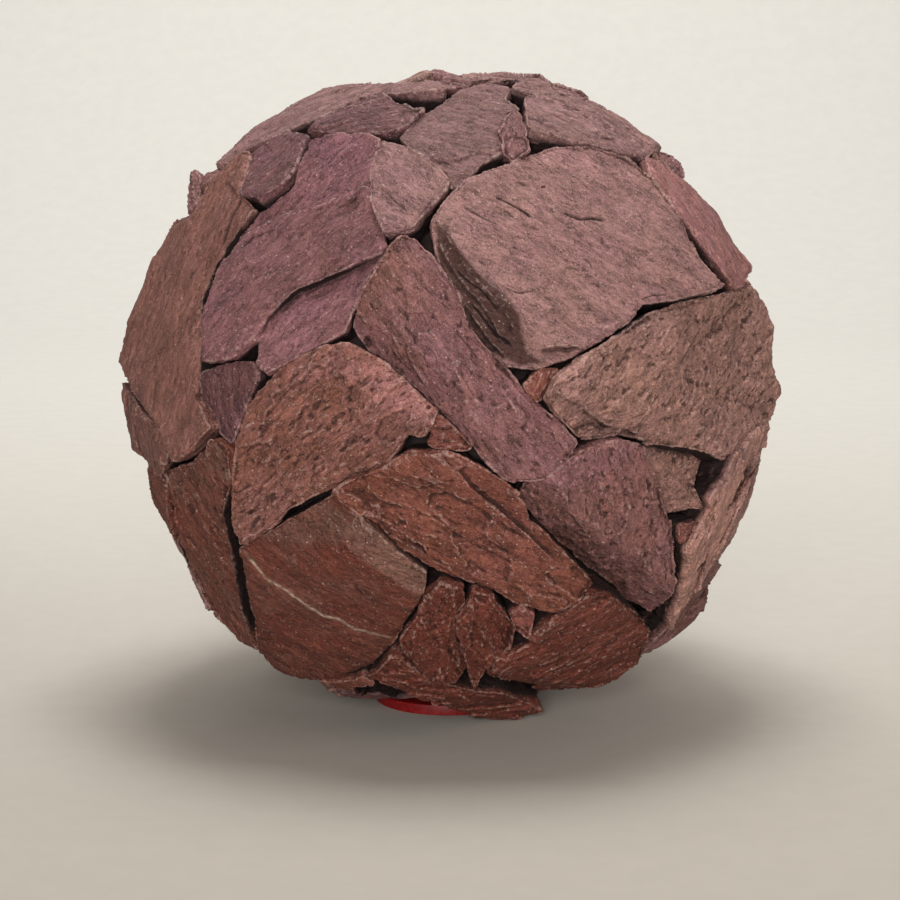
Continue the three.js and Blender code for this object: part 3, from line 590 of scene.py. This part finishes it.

# %% [markdown]
# Some marks belong to one stone: a crack, a step where a layer broke away, a quartz vein, a facet darkened
# with painted shade.
# A noise would put them anywhere, and these have their place in the photo.
# So they are drawn on the picture as broken lines and pressed into the skin where the line falls.
# A line is narrower than the squares of the skin, so the skin is cut finer beside it first.


# %% Lines and patches in the picture
def beside_line(pixels, line):
    """Distance in pixels from a broken line, the side of it, and how far along it, from 0 to 1.

    The side is 1 to the right of someone who walks along the line, and -1 to the left."""
    line = np.array(line, float)
    lengths = np.linalg.norm(np.diff(line, axis=0), axis=1)
    starts = np.concatenate(([0], np.cumsum(lengths)))
    nearest = np.full(len(pixels), 1e9)
    side = np.ones(len(pixels))
    along = np.zeros(len(pixels))
    for start, end, length, before in zip(line[:-1], line[1:], lengths, starts):
        step = end - start
        share = np.clip((pixels - start) @ step / length ** 2, 0, 1)
        offset = pixels - start - share[:, None] * step
        distance = np.linalg.norm(offset, axis=1)
        closer = distance < nearest
        nearest[closer] = distance[closer]
        turned = step[0] * (pixels[:, 1] - start[1]) - step[1] * (pixels[:, 0] - start[0])
        side[closer] = np.where(turned[closer] >= 0, 1, -1)
        along[closer] = (before + share[closer] * length) / starts[-1]
    return nearest, side, along


def smooth_step(value, low, high):
    share = np.clip((value - low) / (high - low), 0, 1)
    return share * share * (3 - 2 * share)


def inside_patch(pixels, outline, feather):
    """1 inside an outline, 0 outside, with a soft border."""
    outline = np.array(outline, float)
    inside = np.zeros(len(pixels), bool)
    for (x0, y0), (x1, y1) in zip(outline, np.roll(outline, -1, axis=0)):
        if y0 == y1:
            continue
        crosses = (pixels[:, 1] < y0) != (pixels[:, 1] < y1)
        meets = x0 + (pixels[:, 1] - y0) * (x1 - x0) / (y1 - y0)
        inside ^= crosses & (pixels[:, 0] < meets)
    nearest = beside_line(pixels, np.vstack((outline, outline[:1])))[0]
    return smooth_step(np.where(inside, nearest, -nearest), -feather, feather)


print("lines and patches can be drawn")

# %% [markdown]
# These are the marks, stone by stone, in pixels of the picture. A line needs only a few points,
# because the tree roughens it afterwards. A patch changes the tone. Where a facet is turned away from the
# light, its darker tone is painted shade; where a fresh break shows, the change is the stone's own colour.
# The border of a patch is soft, so that it never looks cut out.

# %% Marks of single stones
MARKS = {
    # crack: line, width in pixels, depth in mm
    # step: line, drop in mm on its right-hand side, reach in pixels
    # vein: line, width in pixels, height in mm
    # patch: outline, soft border in pixels, change of tone, change of blush
    "great_slab": [
        ("crack", [(495, 196), (506, 201), (517, 207), (525, 212), (532, 218)], 1.3, 1.8),
        ("crack", [(463, 205), (471, 211), (480, 216), (490, 221), (500, 225)], 1.0, 0.9),
        ("crack", [(561, 213), (570, 217), (580, 220), (592, 219), (606, 221)], 1.3, 1.6),
        ("crack", [(583, 258), (589, 263), (592, 269)], 0.9, 0.8),
        ("crack", [(541, 187), (546, 187)], 1.2, 1.0),
        ("step", [(525, 351), (536, 349), (550, 346), (562, 344), (576, 346)], 1.8, 26),
        ("step", [(575, 238), (590, 243), (600, 240), (616, 246)], 0.5, 18),
        # This patch darkens the lower-left bevel, a facet turned away from the light: painted shade.
        ("patch", [(436, 222), (448, 228), (462, 252), (482, 274), (506, 292), (520, 314), (526, 350),
                   (545, 362), (520, 366), (480, 345), (455, 300), (438, 262)], 3, -0.56, -0.25),
        ("step", [(446, 226), (452, 246), (466, 266), (482, 284), (498, 300), (512, 322), (518, 340)],
         1.4, 9),
        ("step", [(438, 236), (448, 258), (462, 282), (480, 300), (494, 322), (506, 348)], 1.6, 8),
        ("step", [(444, 262), (458, 290), (472, 314), (488, 336), (508, 358)], 1.4, 7),
        ("crack", [(456, 268), (468, 280), (484, 290), (500, 310)], 1.2, 1.2),
        ("crack", [(470, 300), (480, 312), (494, 330), (512, 346)], 1.2, 1.2),
        ("crack", [(506, 288), (520, 292), (534, 290)], 0.8, 0.5),
        ("crack", [(640, 300), (652, 295), (668, 294)], 0.8, 0.6),
    ],
    "long_bar": [
        ("patch", [(393, 238), (405, 236), (452, 276), (448, 284), (420, 262)], 4, -0.1, 0.1),
        ("patch", [(350, 312), (392, 240), (406, 262), (376, 300), (408, 344), (430, 368), (418, 374)],
         5, -0.06, -0.35),
        ("step", [(376, 300), (392, 322), (410, 346), (430, 368)], 0.8, 18),
        ("step", [(448, 358), (462, 372), (478, 386), (494, 408)], 0.9, 20),
        ("crack", [(455, 330), (468, 346), (480, 362)], 0.9, 0.6),
    ],
    "layered_slab": [
        ("step", [(350, 484), (372, 497), (392, 505), (420, 512), (448, 530), (480, 548), (520, 566)],
         1.8, 30),
        ("step", [(398, 470), (430, 480), (460, 500), (500, 522), (540, 545)], 1.5, 26),
        ("step", [(366, 500), (384, 524), (404, 546)], 2.2, 24),
        ("step", [(420, 540), (450, 552), (490, 575), (530, 594)], 1.4, 22),
        ("patch", [(400, 476), (428, 472), (442, 488), (436, 500), (410, 500)], 4, -0.16, -0.1),
        ("patch", [(376, 516), (424, 546), (404, 552), (384, 534)], 4, -0.12, -0.05),
    ],
    "veined_slab": [
        ("vein", [(240, 549), (255, 566), (265, 578), (279, 586), (289, 592), (300, 600), (311, 608),
                  (324, 616), (338, 619), (354, 630), (370, 634), (385, 638), (396, 640)], 1.25, 0.25),
        ("patch", [(258, 538), (278, 528), (322, 500), (350, 516), (342, 546), (300, 545)], 5, 0.12, 0.55),
        # This lighter plum facet is partly the stone's own colour and partly a painted reflection of its
        # sheen.
        ("patch", [(345, 526), (342, 538), (356, 557), (373, 567), (389, 576), (407, 590), (421, 599),
                   (430, 570), (390, 540), (360, 516)], 3, 0.34, 0.85),
        ("crack", [(354, 585), (360, 592), (363, 595)], 1.0, 0.7),
    ],
    "plum_slab": [
        ("step", [(233, 255), (249, 235), (273, 227), (289, 215), (305, 209), (329, 204), (345, 201),
                  (353, 193), (364, 188)], 2.0, 34),
        ("step", [(345, 271), (313, 281), (293, 293), (278, 304), (268, 317), (260, 328), (257, 339)],
         0.7, 22),
        ("patch", [(226, 268), (249, 238), (289, 218), (330, 207), (360, 193), (378, 204), (384, 238),
                   (350, 262), (300, 282), (262, 312), (232, 322), (218, 300)], 5, -0.10, -0.20),
        ("patch", [(262, 342), (268, 318), (294, 293), (345, 270), (368, 284), (345, 318), (300, 345)],
         3, 0.10, 0.15),
        ("patch", [(310, 132), (345, 134), (378, 150), (376, 170), (340, 176), (312, 160)], 6, -0.04, 0.25),
    ],
    "left_slab": [
        ("crack", [(240, 199), (232, 215), (226, 231), (220, 247)], 1.4, 1.4),
        ("step", [(228, 180), (240, 196), (252, 206)], 1.6, 18),
    ],
    "left_tall_slab": [
        ("patch", [(204, 441), (222, 446), (232, 470), (230, 492), (212, 470)], 5, 0.06, 0.6),
    ],
    "right_slab": [
        # This patch is a painted shadow on the joint wall next to the great slab.
        ("patch", [(630, 306), (680, 304), (676, 326), (640, 330)], 5, -0.22, 0.1),
        ("patch", [(550, 386), (582, 402), (608, 423), (648, 434), (640, 448), (596, 436), (556, 402)],
         4, -0.25, 0.1),
        ("step", [(552, 388), (582, 403), (608, 424), (646, 434)], 1.6, 18),
        ("step", [(688, 447), (702, 452), (716, 462), (722, 474)], 1.8, 24),
    ],
    "ridge_slab": [
        ("patch", [(532, 486), (546, 497), (582, 521), (602, 543), (618, 577), (628, 600), (600, 584),
                   (560, 550)], 3, -0.16, -0.25),
        ("patch", [(540, 482), (576, 456), (612, 442), (640, 448), (610, 470), (570, 490)], 6, 0.10, 0.35),
    ],
    "russet_slab": [
        ("patch", [(342, 358), (352, 381), (370, 390), (383, 406), (402, 417), (424, 430), (436, 412),
                   (404, 380), (376, 360)], 4, 0.22, 0.35),
        ("patch", [(396, 428), (422, 424), (420, 436), (400, 450)], 3, -0.3, 0.0),
        ("step", [(424, 428), (402, 418), (383, 407), (370, 391), (352, 382), (343, 361)], 1.0, 26),
        ("patch", [(282, 372), (318, 352), (340, 352), (344, 372), (306, 388)], 8, 0.06, 0.35),
    ],
    "right_strap_slab": [
        # This patch is a painted shadow in the dark hollow between this stone and the great slab.
        ("patch", [(678, 212), (690, 230), (704, 252), (718, 268), (728, 282), (722, 288), (708, 274),
                   (696, 256), (686, 236)], 1.5, -0.85, -0.2),
    ],
    "shield_slab": [
        ("crack", [(388, 192), (394, 200), (402, 206), (408, 212)], 0.8, 0.5),
    ],
    "upper_slab": [
        ("step", [(412, 146), (428, 157), (455, 158), (478, 150), (500, 152)], 1.6, 18),
    ],
    "pale_right_slab": [
        # This patch darkens a ledge that lies in shade: painted shade, with a little more plum.
        ("patch", [(742, 440), (750, 450), (722, 490), (704, 505), (700, 490), (722, 462)], 4, -0.3, 0.3),
    ],
    "rough_top_slab": [
        ("patch", [(386, 92), (404, 90), (440, 100), (442, 110), (412, 110)], 3, -0.45, -0.1),
        ("step", [(388, 98), (404, 93), (424, 95), (442, 102)], 4.0, 12),
    ],
}
print("marks for", len(MARKS), "stones:", sum(len(m) for m in MARKS.values()))

# %% [markdown]
# A crack is pressed in along its line, a vein stands up a little, and a step drops on one side of its line.
# Shape and colour have to agree, so the same lines also leave their share on the mesh, as attributes.
# The slate's material reads them to paint shade into a crack and to whiten a vein.


# %% Press the marks in
def cut_finer(mesh, lines, reach):
    """Cuts the squares near the lines into smaller ones."""
    shell = bmesh.new()
    shell.from_mesh(mesh)
    points = np.array([v.co for v in shell.verts])
    pixels = pixels_of(points)
    near = np.zeros(len(points), bool)
    for line in lines:
        near |= beside_line(pixels, line)[0] < reach
    near &= (points - BALL_CENTRE) @ to_eye > 0
    edges = [e for e in shell.edges if near[e.verts[0].index] and near[e.verts[1].index]]
    bmesh.ops.subdivide_edges(shell, edges=edges, cuts=1, use_grid_fill=True)
    shell.to_mesh(mesh)
    shell.free()


def draw_marks(stone, marks):
    mesh = stone["piece"].data
    fine_lines = [mark[1] for mark in marks if mark[0] in {"crack", "vein"}]
    if fine_lines:
        cut_finer(mesh, fine_lines, 4.5)
    points, _, _ = mesh_arrays(mesh)
    pixels = pixels_of(points)
    outside = (points - BALL_CENTRE) @ stone["face"]
    on_top = outside > np.percentile(outside, 45)
    height = np.zeros(len(points))
    tone = np.zeros(len(points))
    blush = np.zeros(len(points))
    vein = np.zeros(len(points))
    crack = np.zeros(len(points))
    for kind, line, *sizes in marks:
        if kind == "patch":
            feather, more_tone, more_blush = sizes
            share = inside_patch(pixels, line, feather)
            tone += share * more_tone
            blush += share * more_blush
            continue
        distance, side, along = beside_line(pixels, line)
        fade = smooth_step(np.minimum(along, 1 - along), -0.02, 0.12)
        wide, deep = sizes if kind != "step" else sizes[::-1]
        if kind == "step":
            share = np.where(side > 0, np.clip(1 - distance / wide, 0, 1) * smooth_step(distance, 0, 1.8), 0)
            height -= share * fade * deep
        else:
            share = np.exp(-(distance / wide) ** 2) * fade
            height += share * (deep if kind == "vein" else -deep)
            if kind == "vein":
                vein = np.maximum(vein, share)
            else:
                crack = np.maximum(crack, share)
    points += stone["face"] * (height * on_top / 1000)[:, None]
    mesh.vertices.foreach_set("co", points.ravel())
    for name, values in (("tone", tone), ("blush", blush), ("vein", vein), ("crack", crack)):
        mesh.attributes.new(name, "FLOAT", "POINT").data.foreach_set("value", values.astype(np.float32))


for name, stone in stones.items():
    draw_marks(stone, MARKS.get(name, []))
print("marked skins:", sum(len(s["piece"].data.polygons) for s in stones.values()), "faces")

# %% [markdown]
# The colour of this slate lies between brown and plum, in soft clouds.
# Pictures of slate could be laid on the stones, but they would stretch and show seams on the broken sides.
# Noises run through a stone as its layers do. They are the same on every stone,
# so this effect and the next two are shader node groups, used with their own values.


# %% Clouds of colour
def attribute_of(tree, name, output="Fac"):
    node = add_node(tree, "ShaderNodeAttribute", attribute_name=name, attribute_type="GEOMETRY")
    return node.outputs[output]


def mixed(tree, share, first, second):
    """A colour between two others. Sockets 6 and 7 of the node are its colours."""
    return add_node(tree, "ShaderNodeMix", {0: share, 6: first, 7: second}, data_type="RGBA").outputs[2]


clouds, given, result = new_group("slate clouds", "ShaderNodeTree", [
    ("Place", "Vector", None), ("Brown", "Color", None), ("Plum", "Color", None), ("Blush", "Float", 0.5),
], [("Color", "Color")])
wide_cloud = noise(clouds, given["Place"], 22.0, 4.0, 0.6, 0.3)
small_cloud = noise(clouds, given["Place"], 95.0, 4.0, 0.65, 0.2)
cloud = maths(clouds, "ADD", maths(clouds, "MULTIPLY", wide_cloud, 1.5),
              maths(clouds, "MULTIPLY", small_cloud, 0.9))
share = maths(clouds, "ADD", maths(clouds, "SUBTRACT", cloud, 1.2), given["Blush"], clamp=True)
clouds.links.new(mixed(clouds, share, given["Brown"], given["Plum"]), result["Color"])
print("clouds:", len(clouds.nodes), "nodes")

# %% [markdown]
# The grain of slate is fine and drawn out along the streaks: thin plates, pale specks and dark pits,
# and the rims of tiny ledges. One noise alone looks like cloth. Several of different sizes,
# each cut off at its own level, look like broken stone.

# %% Grain
grain, given, result = new_group("slate grain", "ShaderNodeTree", [
    ("Place", "Vector", None),
], [("Light", "Float"), ("Hairs", "Float"), ("Height", "Float")])
BROAD, MEDIUM, SPECKS, DOTS = 85.0, 300.0, 900.0, 330.0         # waves or cells per metre
LEDGES, LEDGE_COUNT = 34.0, 12.0
streaked = vectors(grain, "MULTIPLY", given["Place"], (0.45, 1.0, 1.0))
broad_grain = noise(grain, streaked, BROAD, 4.0, 0.65)
medium = noise(grain, streaked, MEDIUM, 3.0, 0.75)
fine = noise(grain, given["Place"], SPECKS, 2.0, 0.9)
level = maths(grain, "MULTIPLY", noise(grain, streaked, LEDGES, 6.0, 0.62), LEDGE_COUNT)
ledge = between(grain, maths(grain, "FRACT", level), 0.80, 1.0)
broken_off = between(grain, noise(grain, given["Place"], 60.0, 3.0), 0.42, 0.60)
stairs = maths(grain, "ADD", maths(grain, "FLOOR", level), ledge)


def centred(value, factor):
    return maths(grain, "MULTIPLY", maths(grain, "SUBTRACT", value, 0.5), factor)


plates = between(grain, medium, 0.46, 0.56)
pale_specks = between(grain, fine, 0.55, 0.68, 0.0, 0.75)
dark_pits = between(grain, fine, 0.45, 0.33, 0.0, 0.55)
spread = maths(grain, "ADD", centred(broad_grain, 1.6), centred(plates, 0.28))
spread = maths(grain, "ADD", spread, maths(grain, "SUBTRACT", pale_specks, dark_pits))
rim = maths(grain, "MULTIPLY", maths(grain, "MULTIPLY", ledge, maths(grain, "SUBTRACT", 1.0, ledge)), 4.0)
rim_line = maths(grain, "MULTIPLY", maths(grain, "MULTIPLY", rim, broken_off), 0.38)
spread = maths(grain, "SUBTRACT", spread, rim_line)
light = maths(grain, "ADD", spread, 1.02)
grain.links.new(maths(grain, "MAXIMUM", light, 0.3), result["Light"])
height = maths(grain, "ADD", broad_grain, maths(grain, "MULTIPLY", plates, 0.09))
height = maths(grain, "ADD", height, maths(grain, "MULTIPLY", fine, 0.25))
height = maths(grain, "ADD", height, maths(grain, "MULTIPLY", stairs, 0.32))
grain.links.new(height, result["Height"])
print("grain:", len(grain.nodes), "nodes so far")

# %% [markdown]
# Short pale hairs and dots lie on the slate, where a tool or a neighbour has scratched it.
# Drawn hairs would be thousands of lines. The cells of a Voronoi texture have thin borders too,
# and where a noise hides most of them, short curved pieces are left.


# %% Hairs and dots
def hair_net(tree, place, scale, width, wander, piece_scale):
    """Short curved pale hairs: broken pieces of a net of thin lines."""
    sway = add_node(tree, "ShaderNodeTexNoise", {"Vector": place, "Scale": scale * 0.8}).outputs["Color"]
    bent = vectors(tree, "ADD", place, scaled(tree, sway, wander / scale))
    net = add_node(tree, "ShaderNodeTexVoronoi", {"Vector": bent, "Scale": scale},
                   feature="DISTANCE_TO_EDGE")
    line = between(tree, net.outputs["Distance"], width, 0.0)
    return maths(tree, "MULTIPLY", line, between(tree, noise(tree, place, piece_scale, 3.0), 0.52, 0.64))


long_hairs = hair_net(grain, given["Place"], 60.0, 0.022, 0.9, 120.0)
elsewhere = vectors(grain, "ADD", given["Place"], (3.0, 1.0, 2.0))
short_hairs = hair_net(grain, elsewhere, 150.0, 0.040, 0.7, 260.0)
dots = add_node(grain, "ShaderNodeTexVoronoi", {"Vector": given["Place"], "Scale": DOTS}, feature="F1")
cell = add_node(grain, "ShaderNodeSeparateXYZ", {0: dots.outputs["Color"]}).outputs
dot = maths(grain, "MULTIPLY", between(grain, dots.outputs["Distance"], 0.24, 0.12),
            maths(grain, "GREATER_THAN", cell[0], 0.80))
hairs = maths(grain, "MAXIMUM", maths(grain, "MULTIPLY", long_hairs, 0.45),
              maths(grain, "MULTIPLY", short_hairs, 0.35))
grain.links.new(maths(grain, "MAXIMUM", hairs, dot), result["Hairs"])
print("grain with its hairs:", len(grain.nodes), "nodes")

# %% [markdown]
# Worn edges are a little paler. Hollows are darker, and the sides of the stones deep in the joints get
# painted shade.
# The tree has already measured both on each stone, so this group only turns the measures into masks.
# A noise breaks the worn edge up, because a line of even width would look painted.

# %% Worn edges, darker hollows and painted joint shade
edges, given, result = new_group("worn edges", "ShaderNodeTree", [
    ("Place", "Vector", None), ("Wear", "Float", 0.0), ("Dip", "Float", 0.0), ("Deep", "Float", 0.0),
], [("Edge", "Float"), ("Hollows And Joint Shade", "Float")])
broken = between(edges, noise(edges, given["Place"], 260.0, 3.0), 0.38, 0.62)
worn_edge = maths(edges, "MULTIPLY", between(edges, given["Wear"], 0.12, 0.40), broken)
edges.links.new(worn_edge, result["Edge"])
hollow = between(edges, given["Dip"], -0.08, -0.8)
# Hollows are darkened, and the sides deep in the joints get painted shade.
hollows_and_joint_shade = maths(edges, "MAXIMUM", hollow, maths(edges, "MULTIPLY", given["Deep"], 1.6))
edges.links.new(hollows_and_joint_shade, result["Hollows And Joint Shade"])
print("worn edges:", len(edges.nodes), "nodes")

# %% [markdown]
# Slate is matt, with a faint sheen where the grain lies smooth. Its colour comes from its bed.
# Each slot of the record is one family of stones, from rose to dark brown.
# Its material joins the three groups. A material for each stone would say the same thing 58 times.
# The tone of a single stone comes from an attribute on its mesh, so stones of one family still differ.


# %% Slate materials
def linear(text):
    """A colour from its six letters, as Blender's linear numbers."""
    channels = [int(text[i:i + 2], 16) / 255 for i in (0, 2, 4)]
    return tuple(c / 12.92 if c <= 0.04045 else ((c + 0.055) / 1.055) ** 2.4 for c in channels) + (1,)


def slate_material(slot, brown, plum):
    finish = bpy.data.materials.new(slot)
    finish.use_nodes = True
    tree = finish.node_tree
    shader = tree.nodes["Principled BSDF"]
    place = attribute_of(tree, "stone_place", "Vector")
    marks = {name: attribute_of(tree, name)
             for name in ("tone", "blush", "vein", "crack", "wear", "dip", "deep")}

    def use(group, **feeds):
        node = add_node(tree, "ShaderNodeGroup", node_tree=group)
        return feed(tree, node, feeds).outputs

    colour = use(clouds, Place=place, Brown=linear(brown), Plum=linear(plum), Blush=marks["blush"])["Color"]
    grains = use(grain, Place=place)
    worn = use(edges, Place=place, Wear=marks["wear"], Dip=marks["dip"], Deep=marks["deep"])
    colour = scaled(tree, colour, maths(tree, "MULTIPLY", grains["Light"], marks["tone"]))
    # Where the tone is low, from painted shade or a dark stone, the colour turns towards a dark red-brown.
    low_tone_shade_tint = between(tree, marks["tone"], 0.64, 0.42, 0.0, 0.75)
    colour = mixed(tree, low_tone_shade_tint, colour, linear("43231d"))
    pale = mixed(tree, 0.62, colour, linear("e3c6bb"))
    colour = mixed(tree, maths(tree, "MULTIPLY", grains["Hairs"], 0.75), colour, pale)
    colour = mixed(tree, maths(tree, "MULTIPLY", worn["Edge"], 0.42), colour, pale)
    # Darker in the hollows, and painted shade on the stone sides deep in the joints.
    colour = mixed(tree, maths(tree, "MULTIPLY", worn["Hollows And Joint Shade"], 0.7), colour, linear("1e0e0d"))
    # Painted shade along the cracks.
    colour = mixed(tree, maths(tree, "MULTIPLY", marks["crack"], 0.75), colour, linear("1c0d0c"))
    broken = between(tree, noise(tree, place, 220.0, 3.0, 0.7), 0.34, 0.58, 0.25, 0.8)
    colour = mixed(tree, maths(tree, "MULTIPLY", marks["vein"], broken), colour, linear("c9b09c"))
    tree.links.new(colour, shader.inputs["Base Color"])
    tree.links.new(between(tree, grains["Light"], 0.7, 1.3, 0.80, 0.56), shader.inputs["Roughness"])
    bump = add_node(tree, "ShaderNodeBump", {"Height": grains["Height"], "Strength": 1.0, "Distance": 0.0030})
    tree.links.new(bump.outputs["Normal"], shader.inputs["Normal"])
    shader.inputs["Specular IOR Level"].default_value = 0.32
    return finish


FAMILIES = {
    # slot: (brown, plum)
    "slate_rose": ("8e6a62", "8f6768"),
    "slate_plum": ("7e534e", "85585f"),
    "slate_brown": ("7e5347", "7f5654"),
    "slate_russet": ("764a3d", "865a58"),
    "slate_red": ("7a4536", "804b46"),
    "slate_dark": ("6e3629", "66463c"),
    "slate_mauve": ("7b5149", "80575b"),
    "slate_tan": ("8a655a", "825e5d"),
}
finishes = {slot: slate_material(slot, *pair) for slot, pair in FAMILIES.items()}
print("slate materials:", ", ".join(finishes))

# %% [markdown]
# Nobody sees the bed of a stone, deep in the joints, so the skin there is thinned out afterwards.
# Cutting the bed off would open the mesh. Decimate keeps it closed,
# and a vertex group tells it which points are buried.
# The lowest stones nearly touch the floor, so points that the splitting pushes into it are lifted again.

# %% Buried points
BURIED_RADIUS, BURIED_KEPT = 0.2385, 0.08
FLOOR_GAP = 0.0006


def buried_points(mesh, face):
    """Numbers of the points that lie deep in the joints and don't belong to the split face."""
    points, _, _ = mesh_arrays(mesh)
    normals = np.empty(points.size)
    mesh.vertices.foreach_get("normal", normals)
    sideways = normals.reshape(-1, 3) @ face < 0.35
    return np.nonzero((np.linalg.norm(points - BALL_CENTRE, axis=1) < BURIED_RADIUS) & sideways)[0]


def keep_above_floor(mesh):
    """Lifts the few points that the splitting pushed down to the floor."""
    points = mesh_arrays(mesh)[0]
    points[:, 2] = np.maximum(points[:, 2], FLOOR_GAP)
    mesh.vertices.foreach_set("co", points.ravel())
    mesh.update()


bar = stones["long_bar"]
print("buried in the long bar:", len(buried_points(bar["piece"].data, bar["face"])), "points")

# %% [markdown]
# Now the tree runs on every stone, and its result becomes a plain mesh.
# Tone and blush are added to what the marks left, stone by stone.
# Its sizes, its seed and its material go in through the inputs of its modifier.
# They are set by the inputs' identifiers, since a modifier doesn't know their names.
# The finished mesh stands in for the frame's node: it replaces it, rides its body and fills its slot.

# %% Split the stones
for name, stone in stones.items():
    piece = stone["piece"]
    for attribute, whole in (("tone", stone["tone"]), ("blush", stone["blush"])):
        data = piece.data.attributes[attribute].data
        values = np.empty(len(data), np.float32)
        data.foreach_get("value", values)
        data.foreach_set("value", values + np.float32(whole))
    sizes = {key: value / 1000 for key, value in SPLITS[stone["kind"]].items()}
    modifier = piece.modifiers.new("split stone", "NODES")
    modifier.node_group = split
    inputs = dict(sizes, Seed=stone["seed"], Face=list(stone["face"]), Grain=list(stone["grain"]),
                  Finish=finishes[SLOT_OF[name]])
    for key, value in inputs.items():
        modifier[split_inputs[key]] = value
    buried = buried_points(piece.data, stone["face"])
    piece.vertex_groups.new(name="buried").add(buried.tolist(), 1.0, "REPLACE")
    share = len(buried) / len(piece.data.vertices)
    thinning = piece.modifiers.new("thinning", "DECIMATE")
    thinning.ratio = 1 - share * (1 - BURIED_KEPT)
    thinning.vertex_group = "buried"
for name, stone in stones.items():
    take_result(stone["piece"])
    keep_above_floor(stone["piece"].data)
    stone["piece"].data.shade_smooth()
    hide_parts(name)
    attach(stone["piece"], "root")
triangles = {n: sum(len(p.vertices) - 2 for p in s["piece"].data.polygons) for n, s in stones.items()}
most = max(triangles, key=triangles.get)
print("stones:", sum(triangles.values()), "triangles, most in", most, triangles[most])

# %% [markdown]
# Between the stones a little mortar shows, deep in the joints, where hardly any light falls.
# It is coarse and nearly black. The pad is plain and matt too, in red.
# Both have one mottled colour on fine grit, so one function makes both finishes, with its own values.


# %% Plain finishes
def plain_material(slot, dark, light, scale, rough, bump_height, bump_strength=0.6):
    """A matt mottled finish on Object coordinates."""
    finish = bpy.data.materials.new(slot)
    finish.use_nodes = True
    tree = finish.node_tree
    shader = tree.nodes["Principled BSDF"]
    place = tree.nodes.new("ShaderNodeTexCoord").outputs["Object"]
    spots = noise(tree, place, scale, 5.0, 0.65)
    colour = mixed(tree, between(tree, spots, 0.35, 0.65), linear(dark), linear(light))
    tree.links.new(colour, shader.inputs["Base Color"])
    tree.links.new(between(tree, spots, 0.3, 0.7, rough - 0.08, rough + 0.08), shader.inputs["Roughness"])
    grit = noise(tree, place, scale * 2.2, 4.0, 0.7)
    bump = add_node(tree, "ShaderNodeBump", {
        "Height": grit, "Strength": bump_strength, "Distance": bump_height})
    tree.links.new(bump.outputs["Normal"], shader.inputs["Normal"])
    return finish


mortar_finish = plain_material("mortar", "1a100f", "33241f", 140.0, 0.85, 0.0015)
print("finish:", mortar_finish.name)

# %% [markdown]
# Loose grains of mortar would be truest, but deep in the joints they would hardly show.
# So a copy of its solid gets an even skin and a lumpy surface from a short tree.

# %% Mortar
MORTAR_SQUARE = 0.005
coarse, given, result = new_group("coarse mortar", "GeometryNodeTree", [
    ("Geometry", "Geometry", None),
    ("Lump", "Float", 0.003),
    ("Lump Size", "Float", 0.02),
    ("Finish", "Material", None),
], [("Geometry", "Geometry")])
place = coarse.nodes.new("GeometryNodeInputPosition").outputs["Position"]
normal = coarse.nodes.new("GeometryNodeInputNormal").outputs["Normal"]
lumps = noise(coarse, place, maths(coarse, "DIVIDE", 1.0, given["Lump Size"]), 5.0, 0.65)
reach = maths(coarse, "MULTIPLY", given["Lump"], 2.0)
push = maths(coarse, "MULTIPLY", maths(coarse, "SUBTRACT", lumps, 0.62), reach)
moved = add_node(coarse, "GeometryNodeSetPosition",
                 {"Geometry": given["Geometry"], "Offset": scaled(coarse, normal, push)})
dress(coarse, moved.outputs["Geometry"], given["Finish"], result["Geometry"])
coarse_inputs = inputs_of(coarse)

mortar = copy_of("mortar_core", "mortar_lump")
skin = mortar.modifiers.new("even skin", "REMESH")
skin.mode = "VOXEL"
skin.voxel_size = MORTAR_SQUARE
modifier = mortar.modifiers.new("coarse mortar", "NODES")
modifier.node_group = coarse
modifier[coarse_inputs["Lump"]] = 0.003
modifier[coarse_inputs["Lump Size"]] = 0.022
modifier[coarse_inputs["Finish"]] = mortar_finish
take_result(mortar)
mortar.data.shade_smooth()
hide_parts("mortar_core")
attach(mortar, "root")
print("mortar:", len(mortar.data.polygons), "squares")

# %% [markdown]
# The ball stands on a low round pad of red rubber. Its edges are rounded, as on any moulded pad.
# A turned profile would make it too. Its solid is there already, so a bevel on the sharp edges is enough.

# %% Pad
PAD_ROUNDING = 0.0012
pad = copy_of("base_pad", "rubber_pad")
rounding = pad.modifiers.new("rounding", "BEVEL")
rounding.width = PAD_ROUNDING
rounding.segments = 3
rounding.limit_method = "ANGLE"
rounding.angle_limit = math.radians(50)
take_result(pad)
pad.data.shade_smooth()
pad.data.materials.clear()
pad.data.materials.append(plain_material("red_pad", "700305", "900607", 300.0, 0.5, 0.0003, 0.4))
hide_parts("base_pad")
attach(pad, "root")
print("pad:", len(pad.data.polygons), "faces")

# %% [markdown]
# The floor paper is matt and warm. It is greyer in front of the ball than on the wall behind, and that is
# painted shade.
# More lights could shade plain paper like this, but they would also change the light on the ball.

# %% Paper
paper = bpy.data.materials.new("paper")
paper.use_nodes = True
tree = paper.node_tree
place = tree.nodes.new("ShaderNodeTexCoord").outputs["Object"]
# Painted shade: the paper is darker towards the front and lighter towards the wall.
back = between(tree, add_node(tree, "ShaderNodeSeparateXYZ", {0: place}).outputs[1], -0.9, 2.6)
fibres = between(tree, noise(tree, place, 40.0, 4.0), 0.3, 0.7, 0.985, 1.015)
colour = mixed(tree, back, linear("b8b2a8"), linear("e2e0db"))
tree.links.new(scaled(tree, colour, fibres), tree.nodes["Principled BSDF"].inputs["Base Color"])
tree.nodes["Principled BSDF"].inputs["Roughness"].default_value = 0.9
tree.nodes["Principled BSDF"].inputs["Specular IOR Level"].default_value = 0.1
floor.data.materials.append(paper)
print("paper laid")
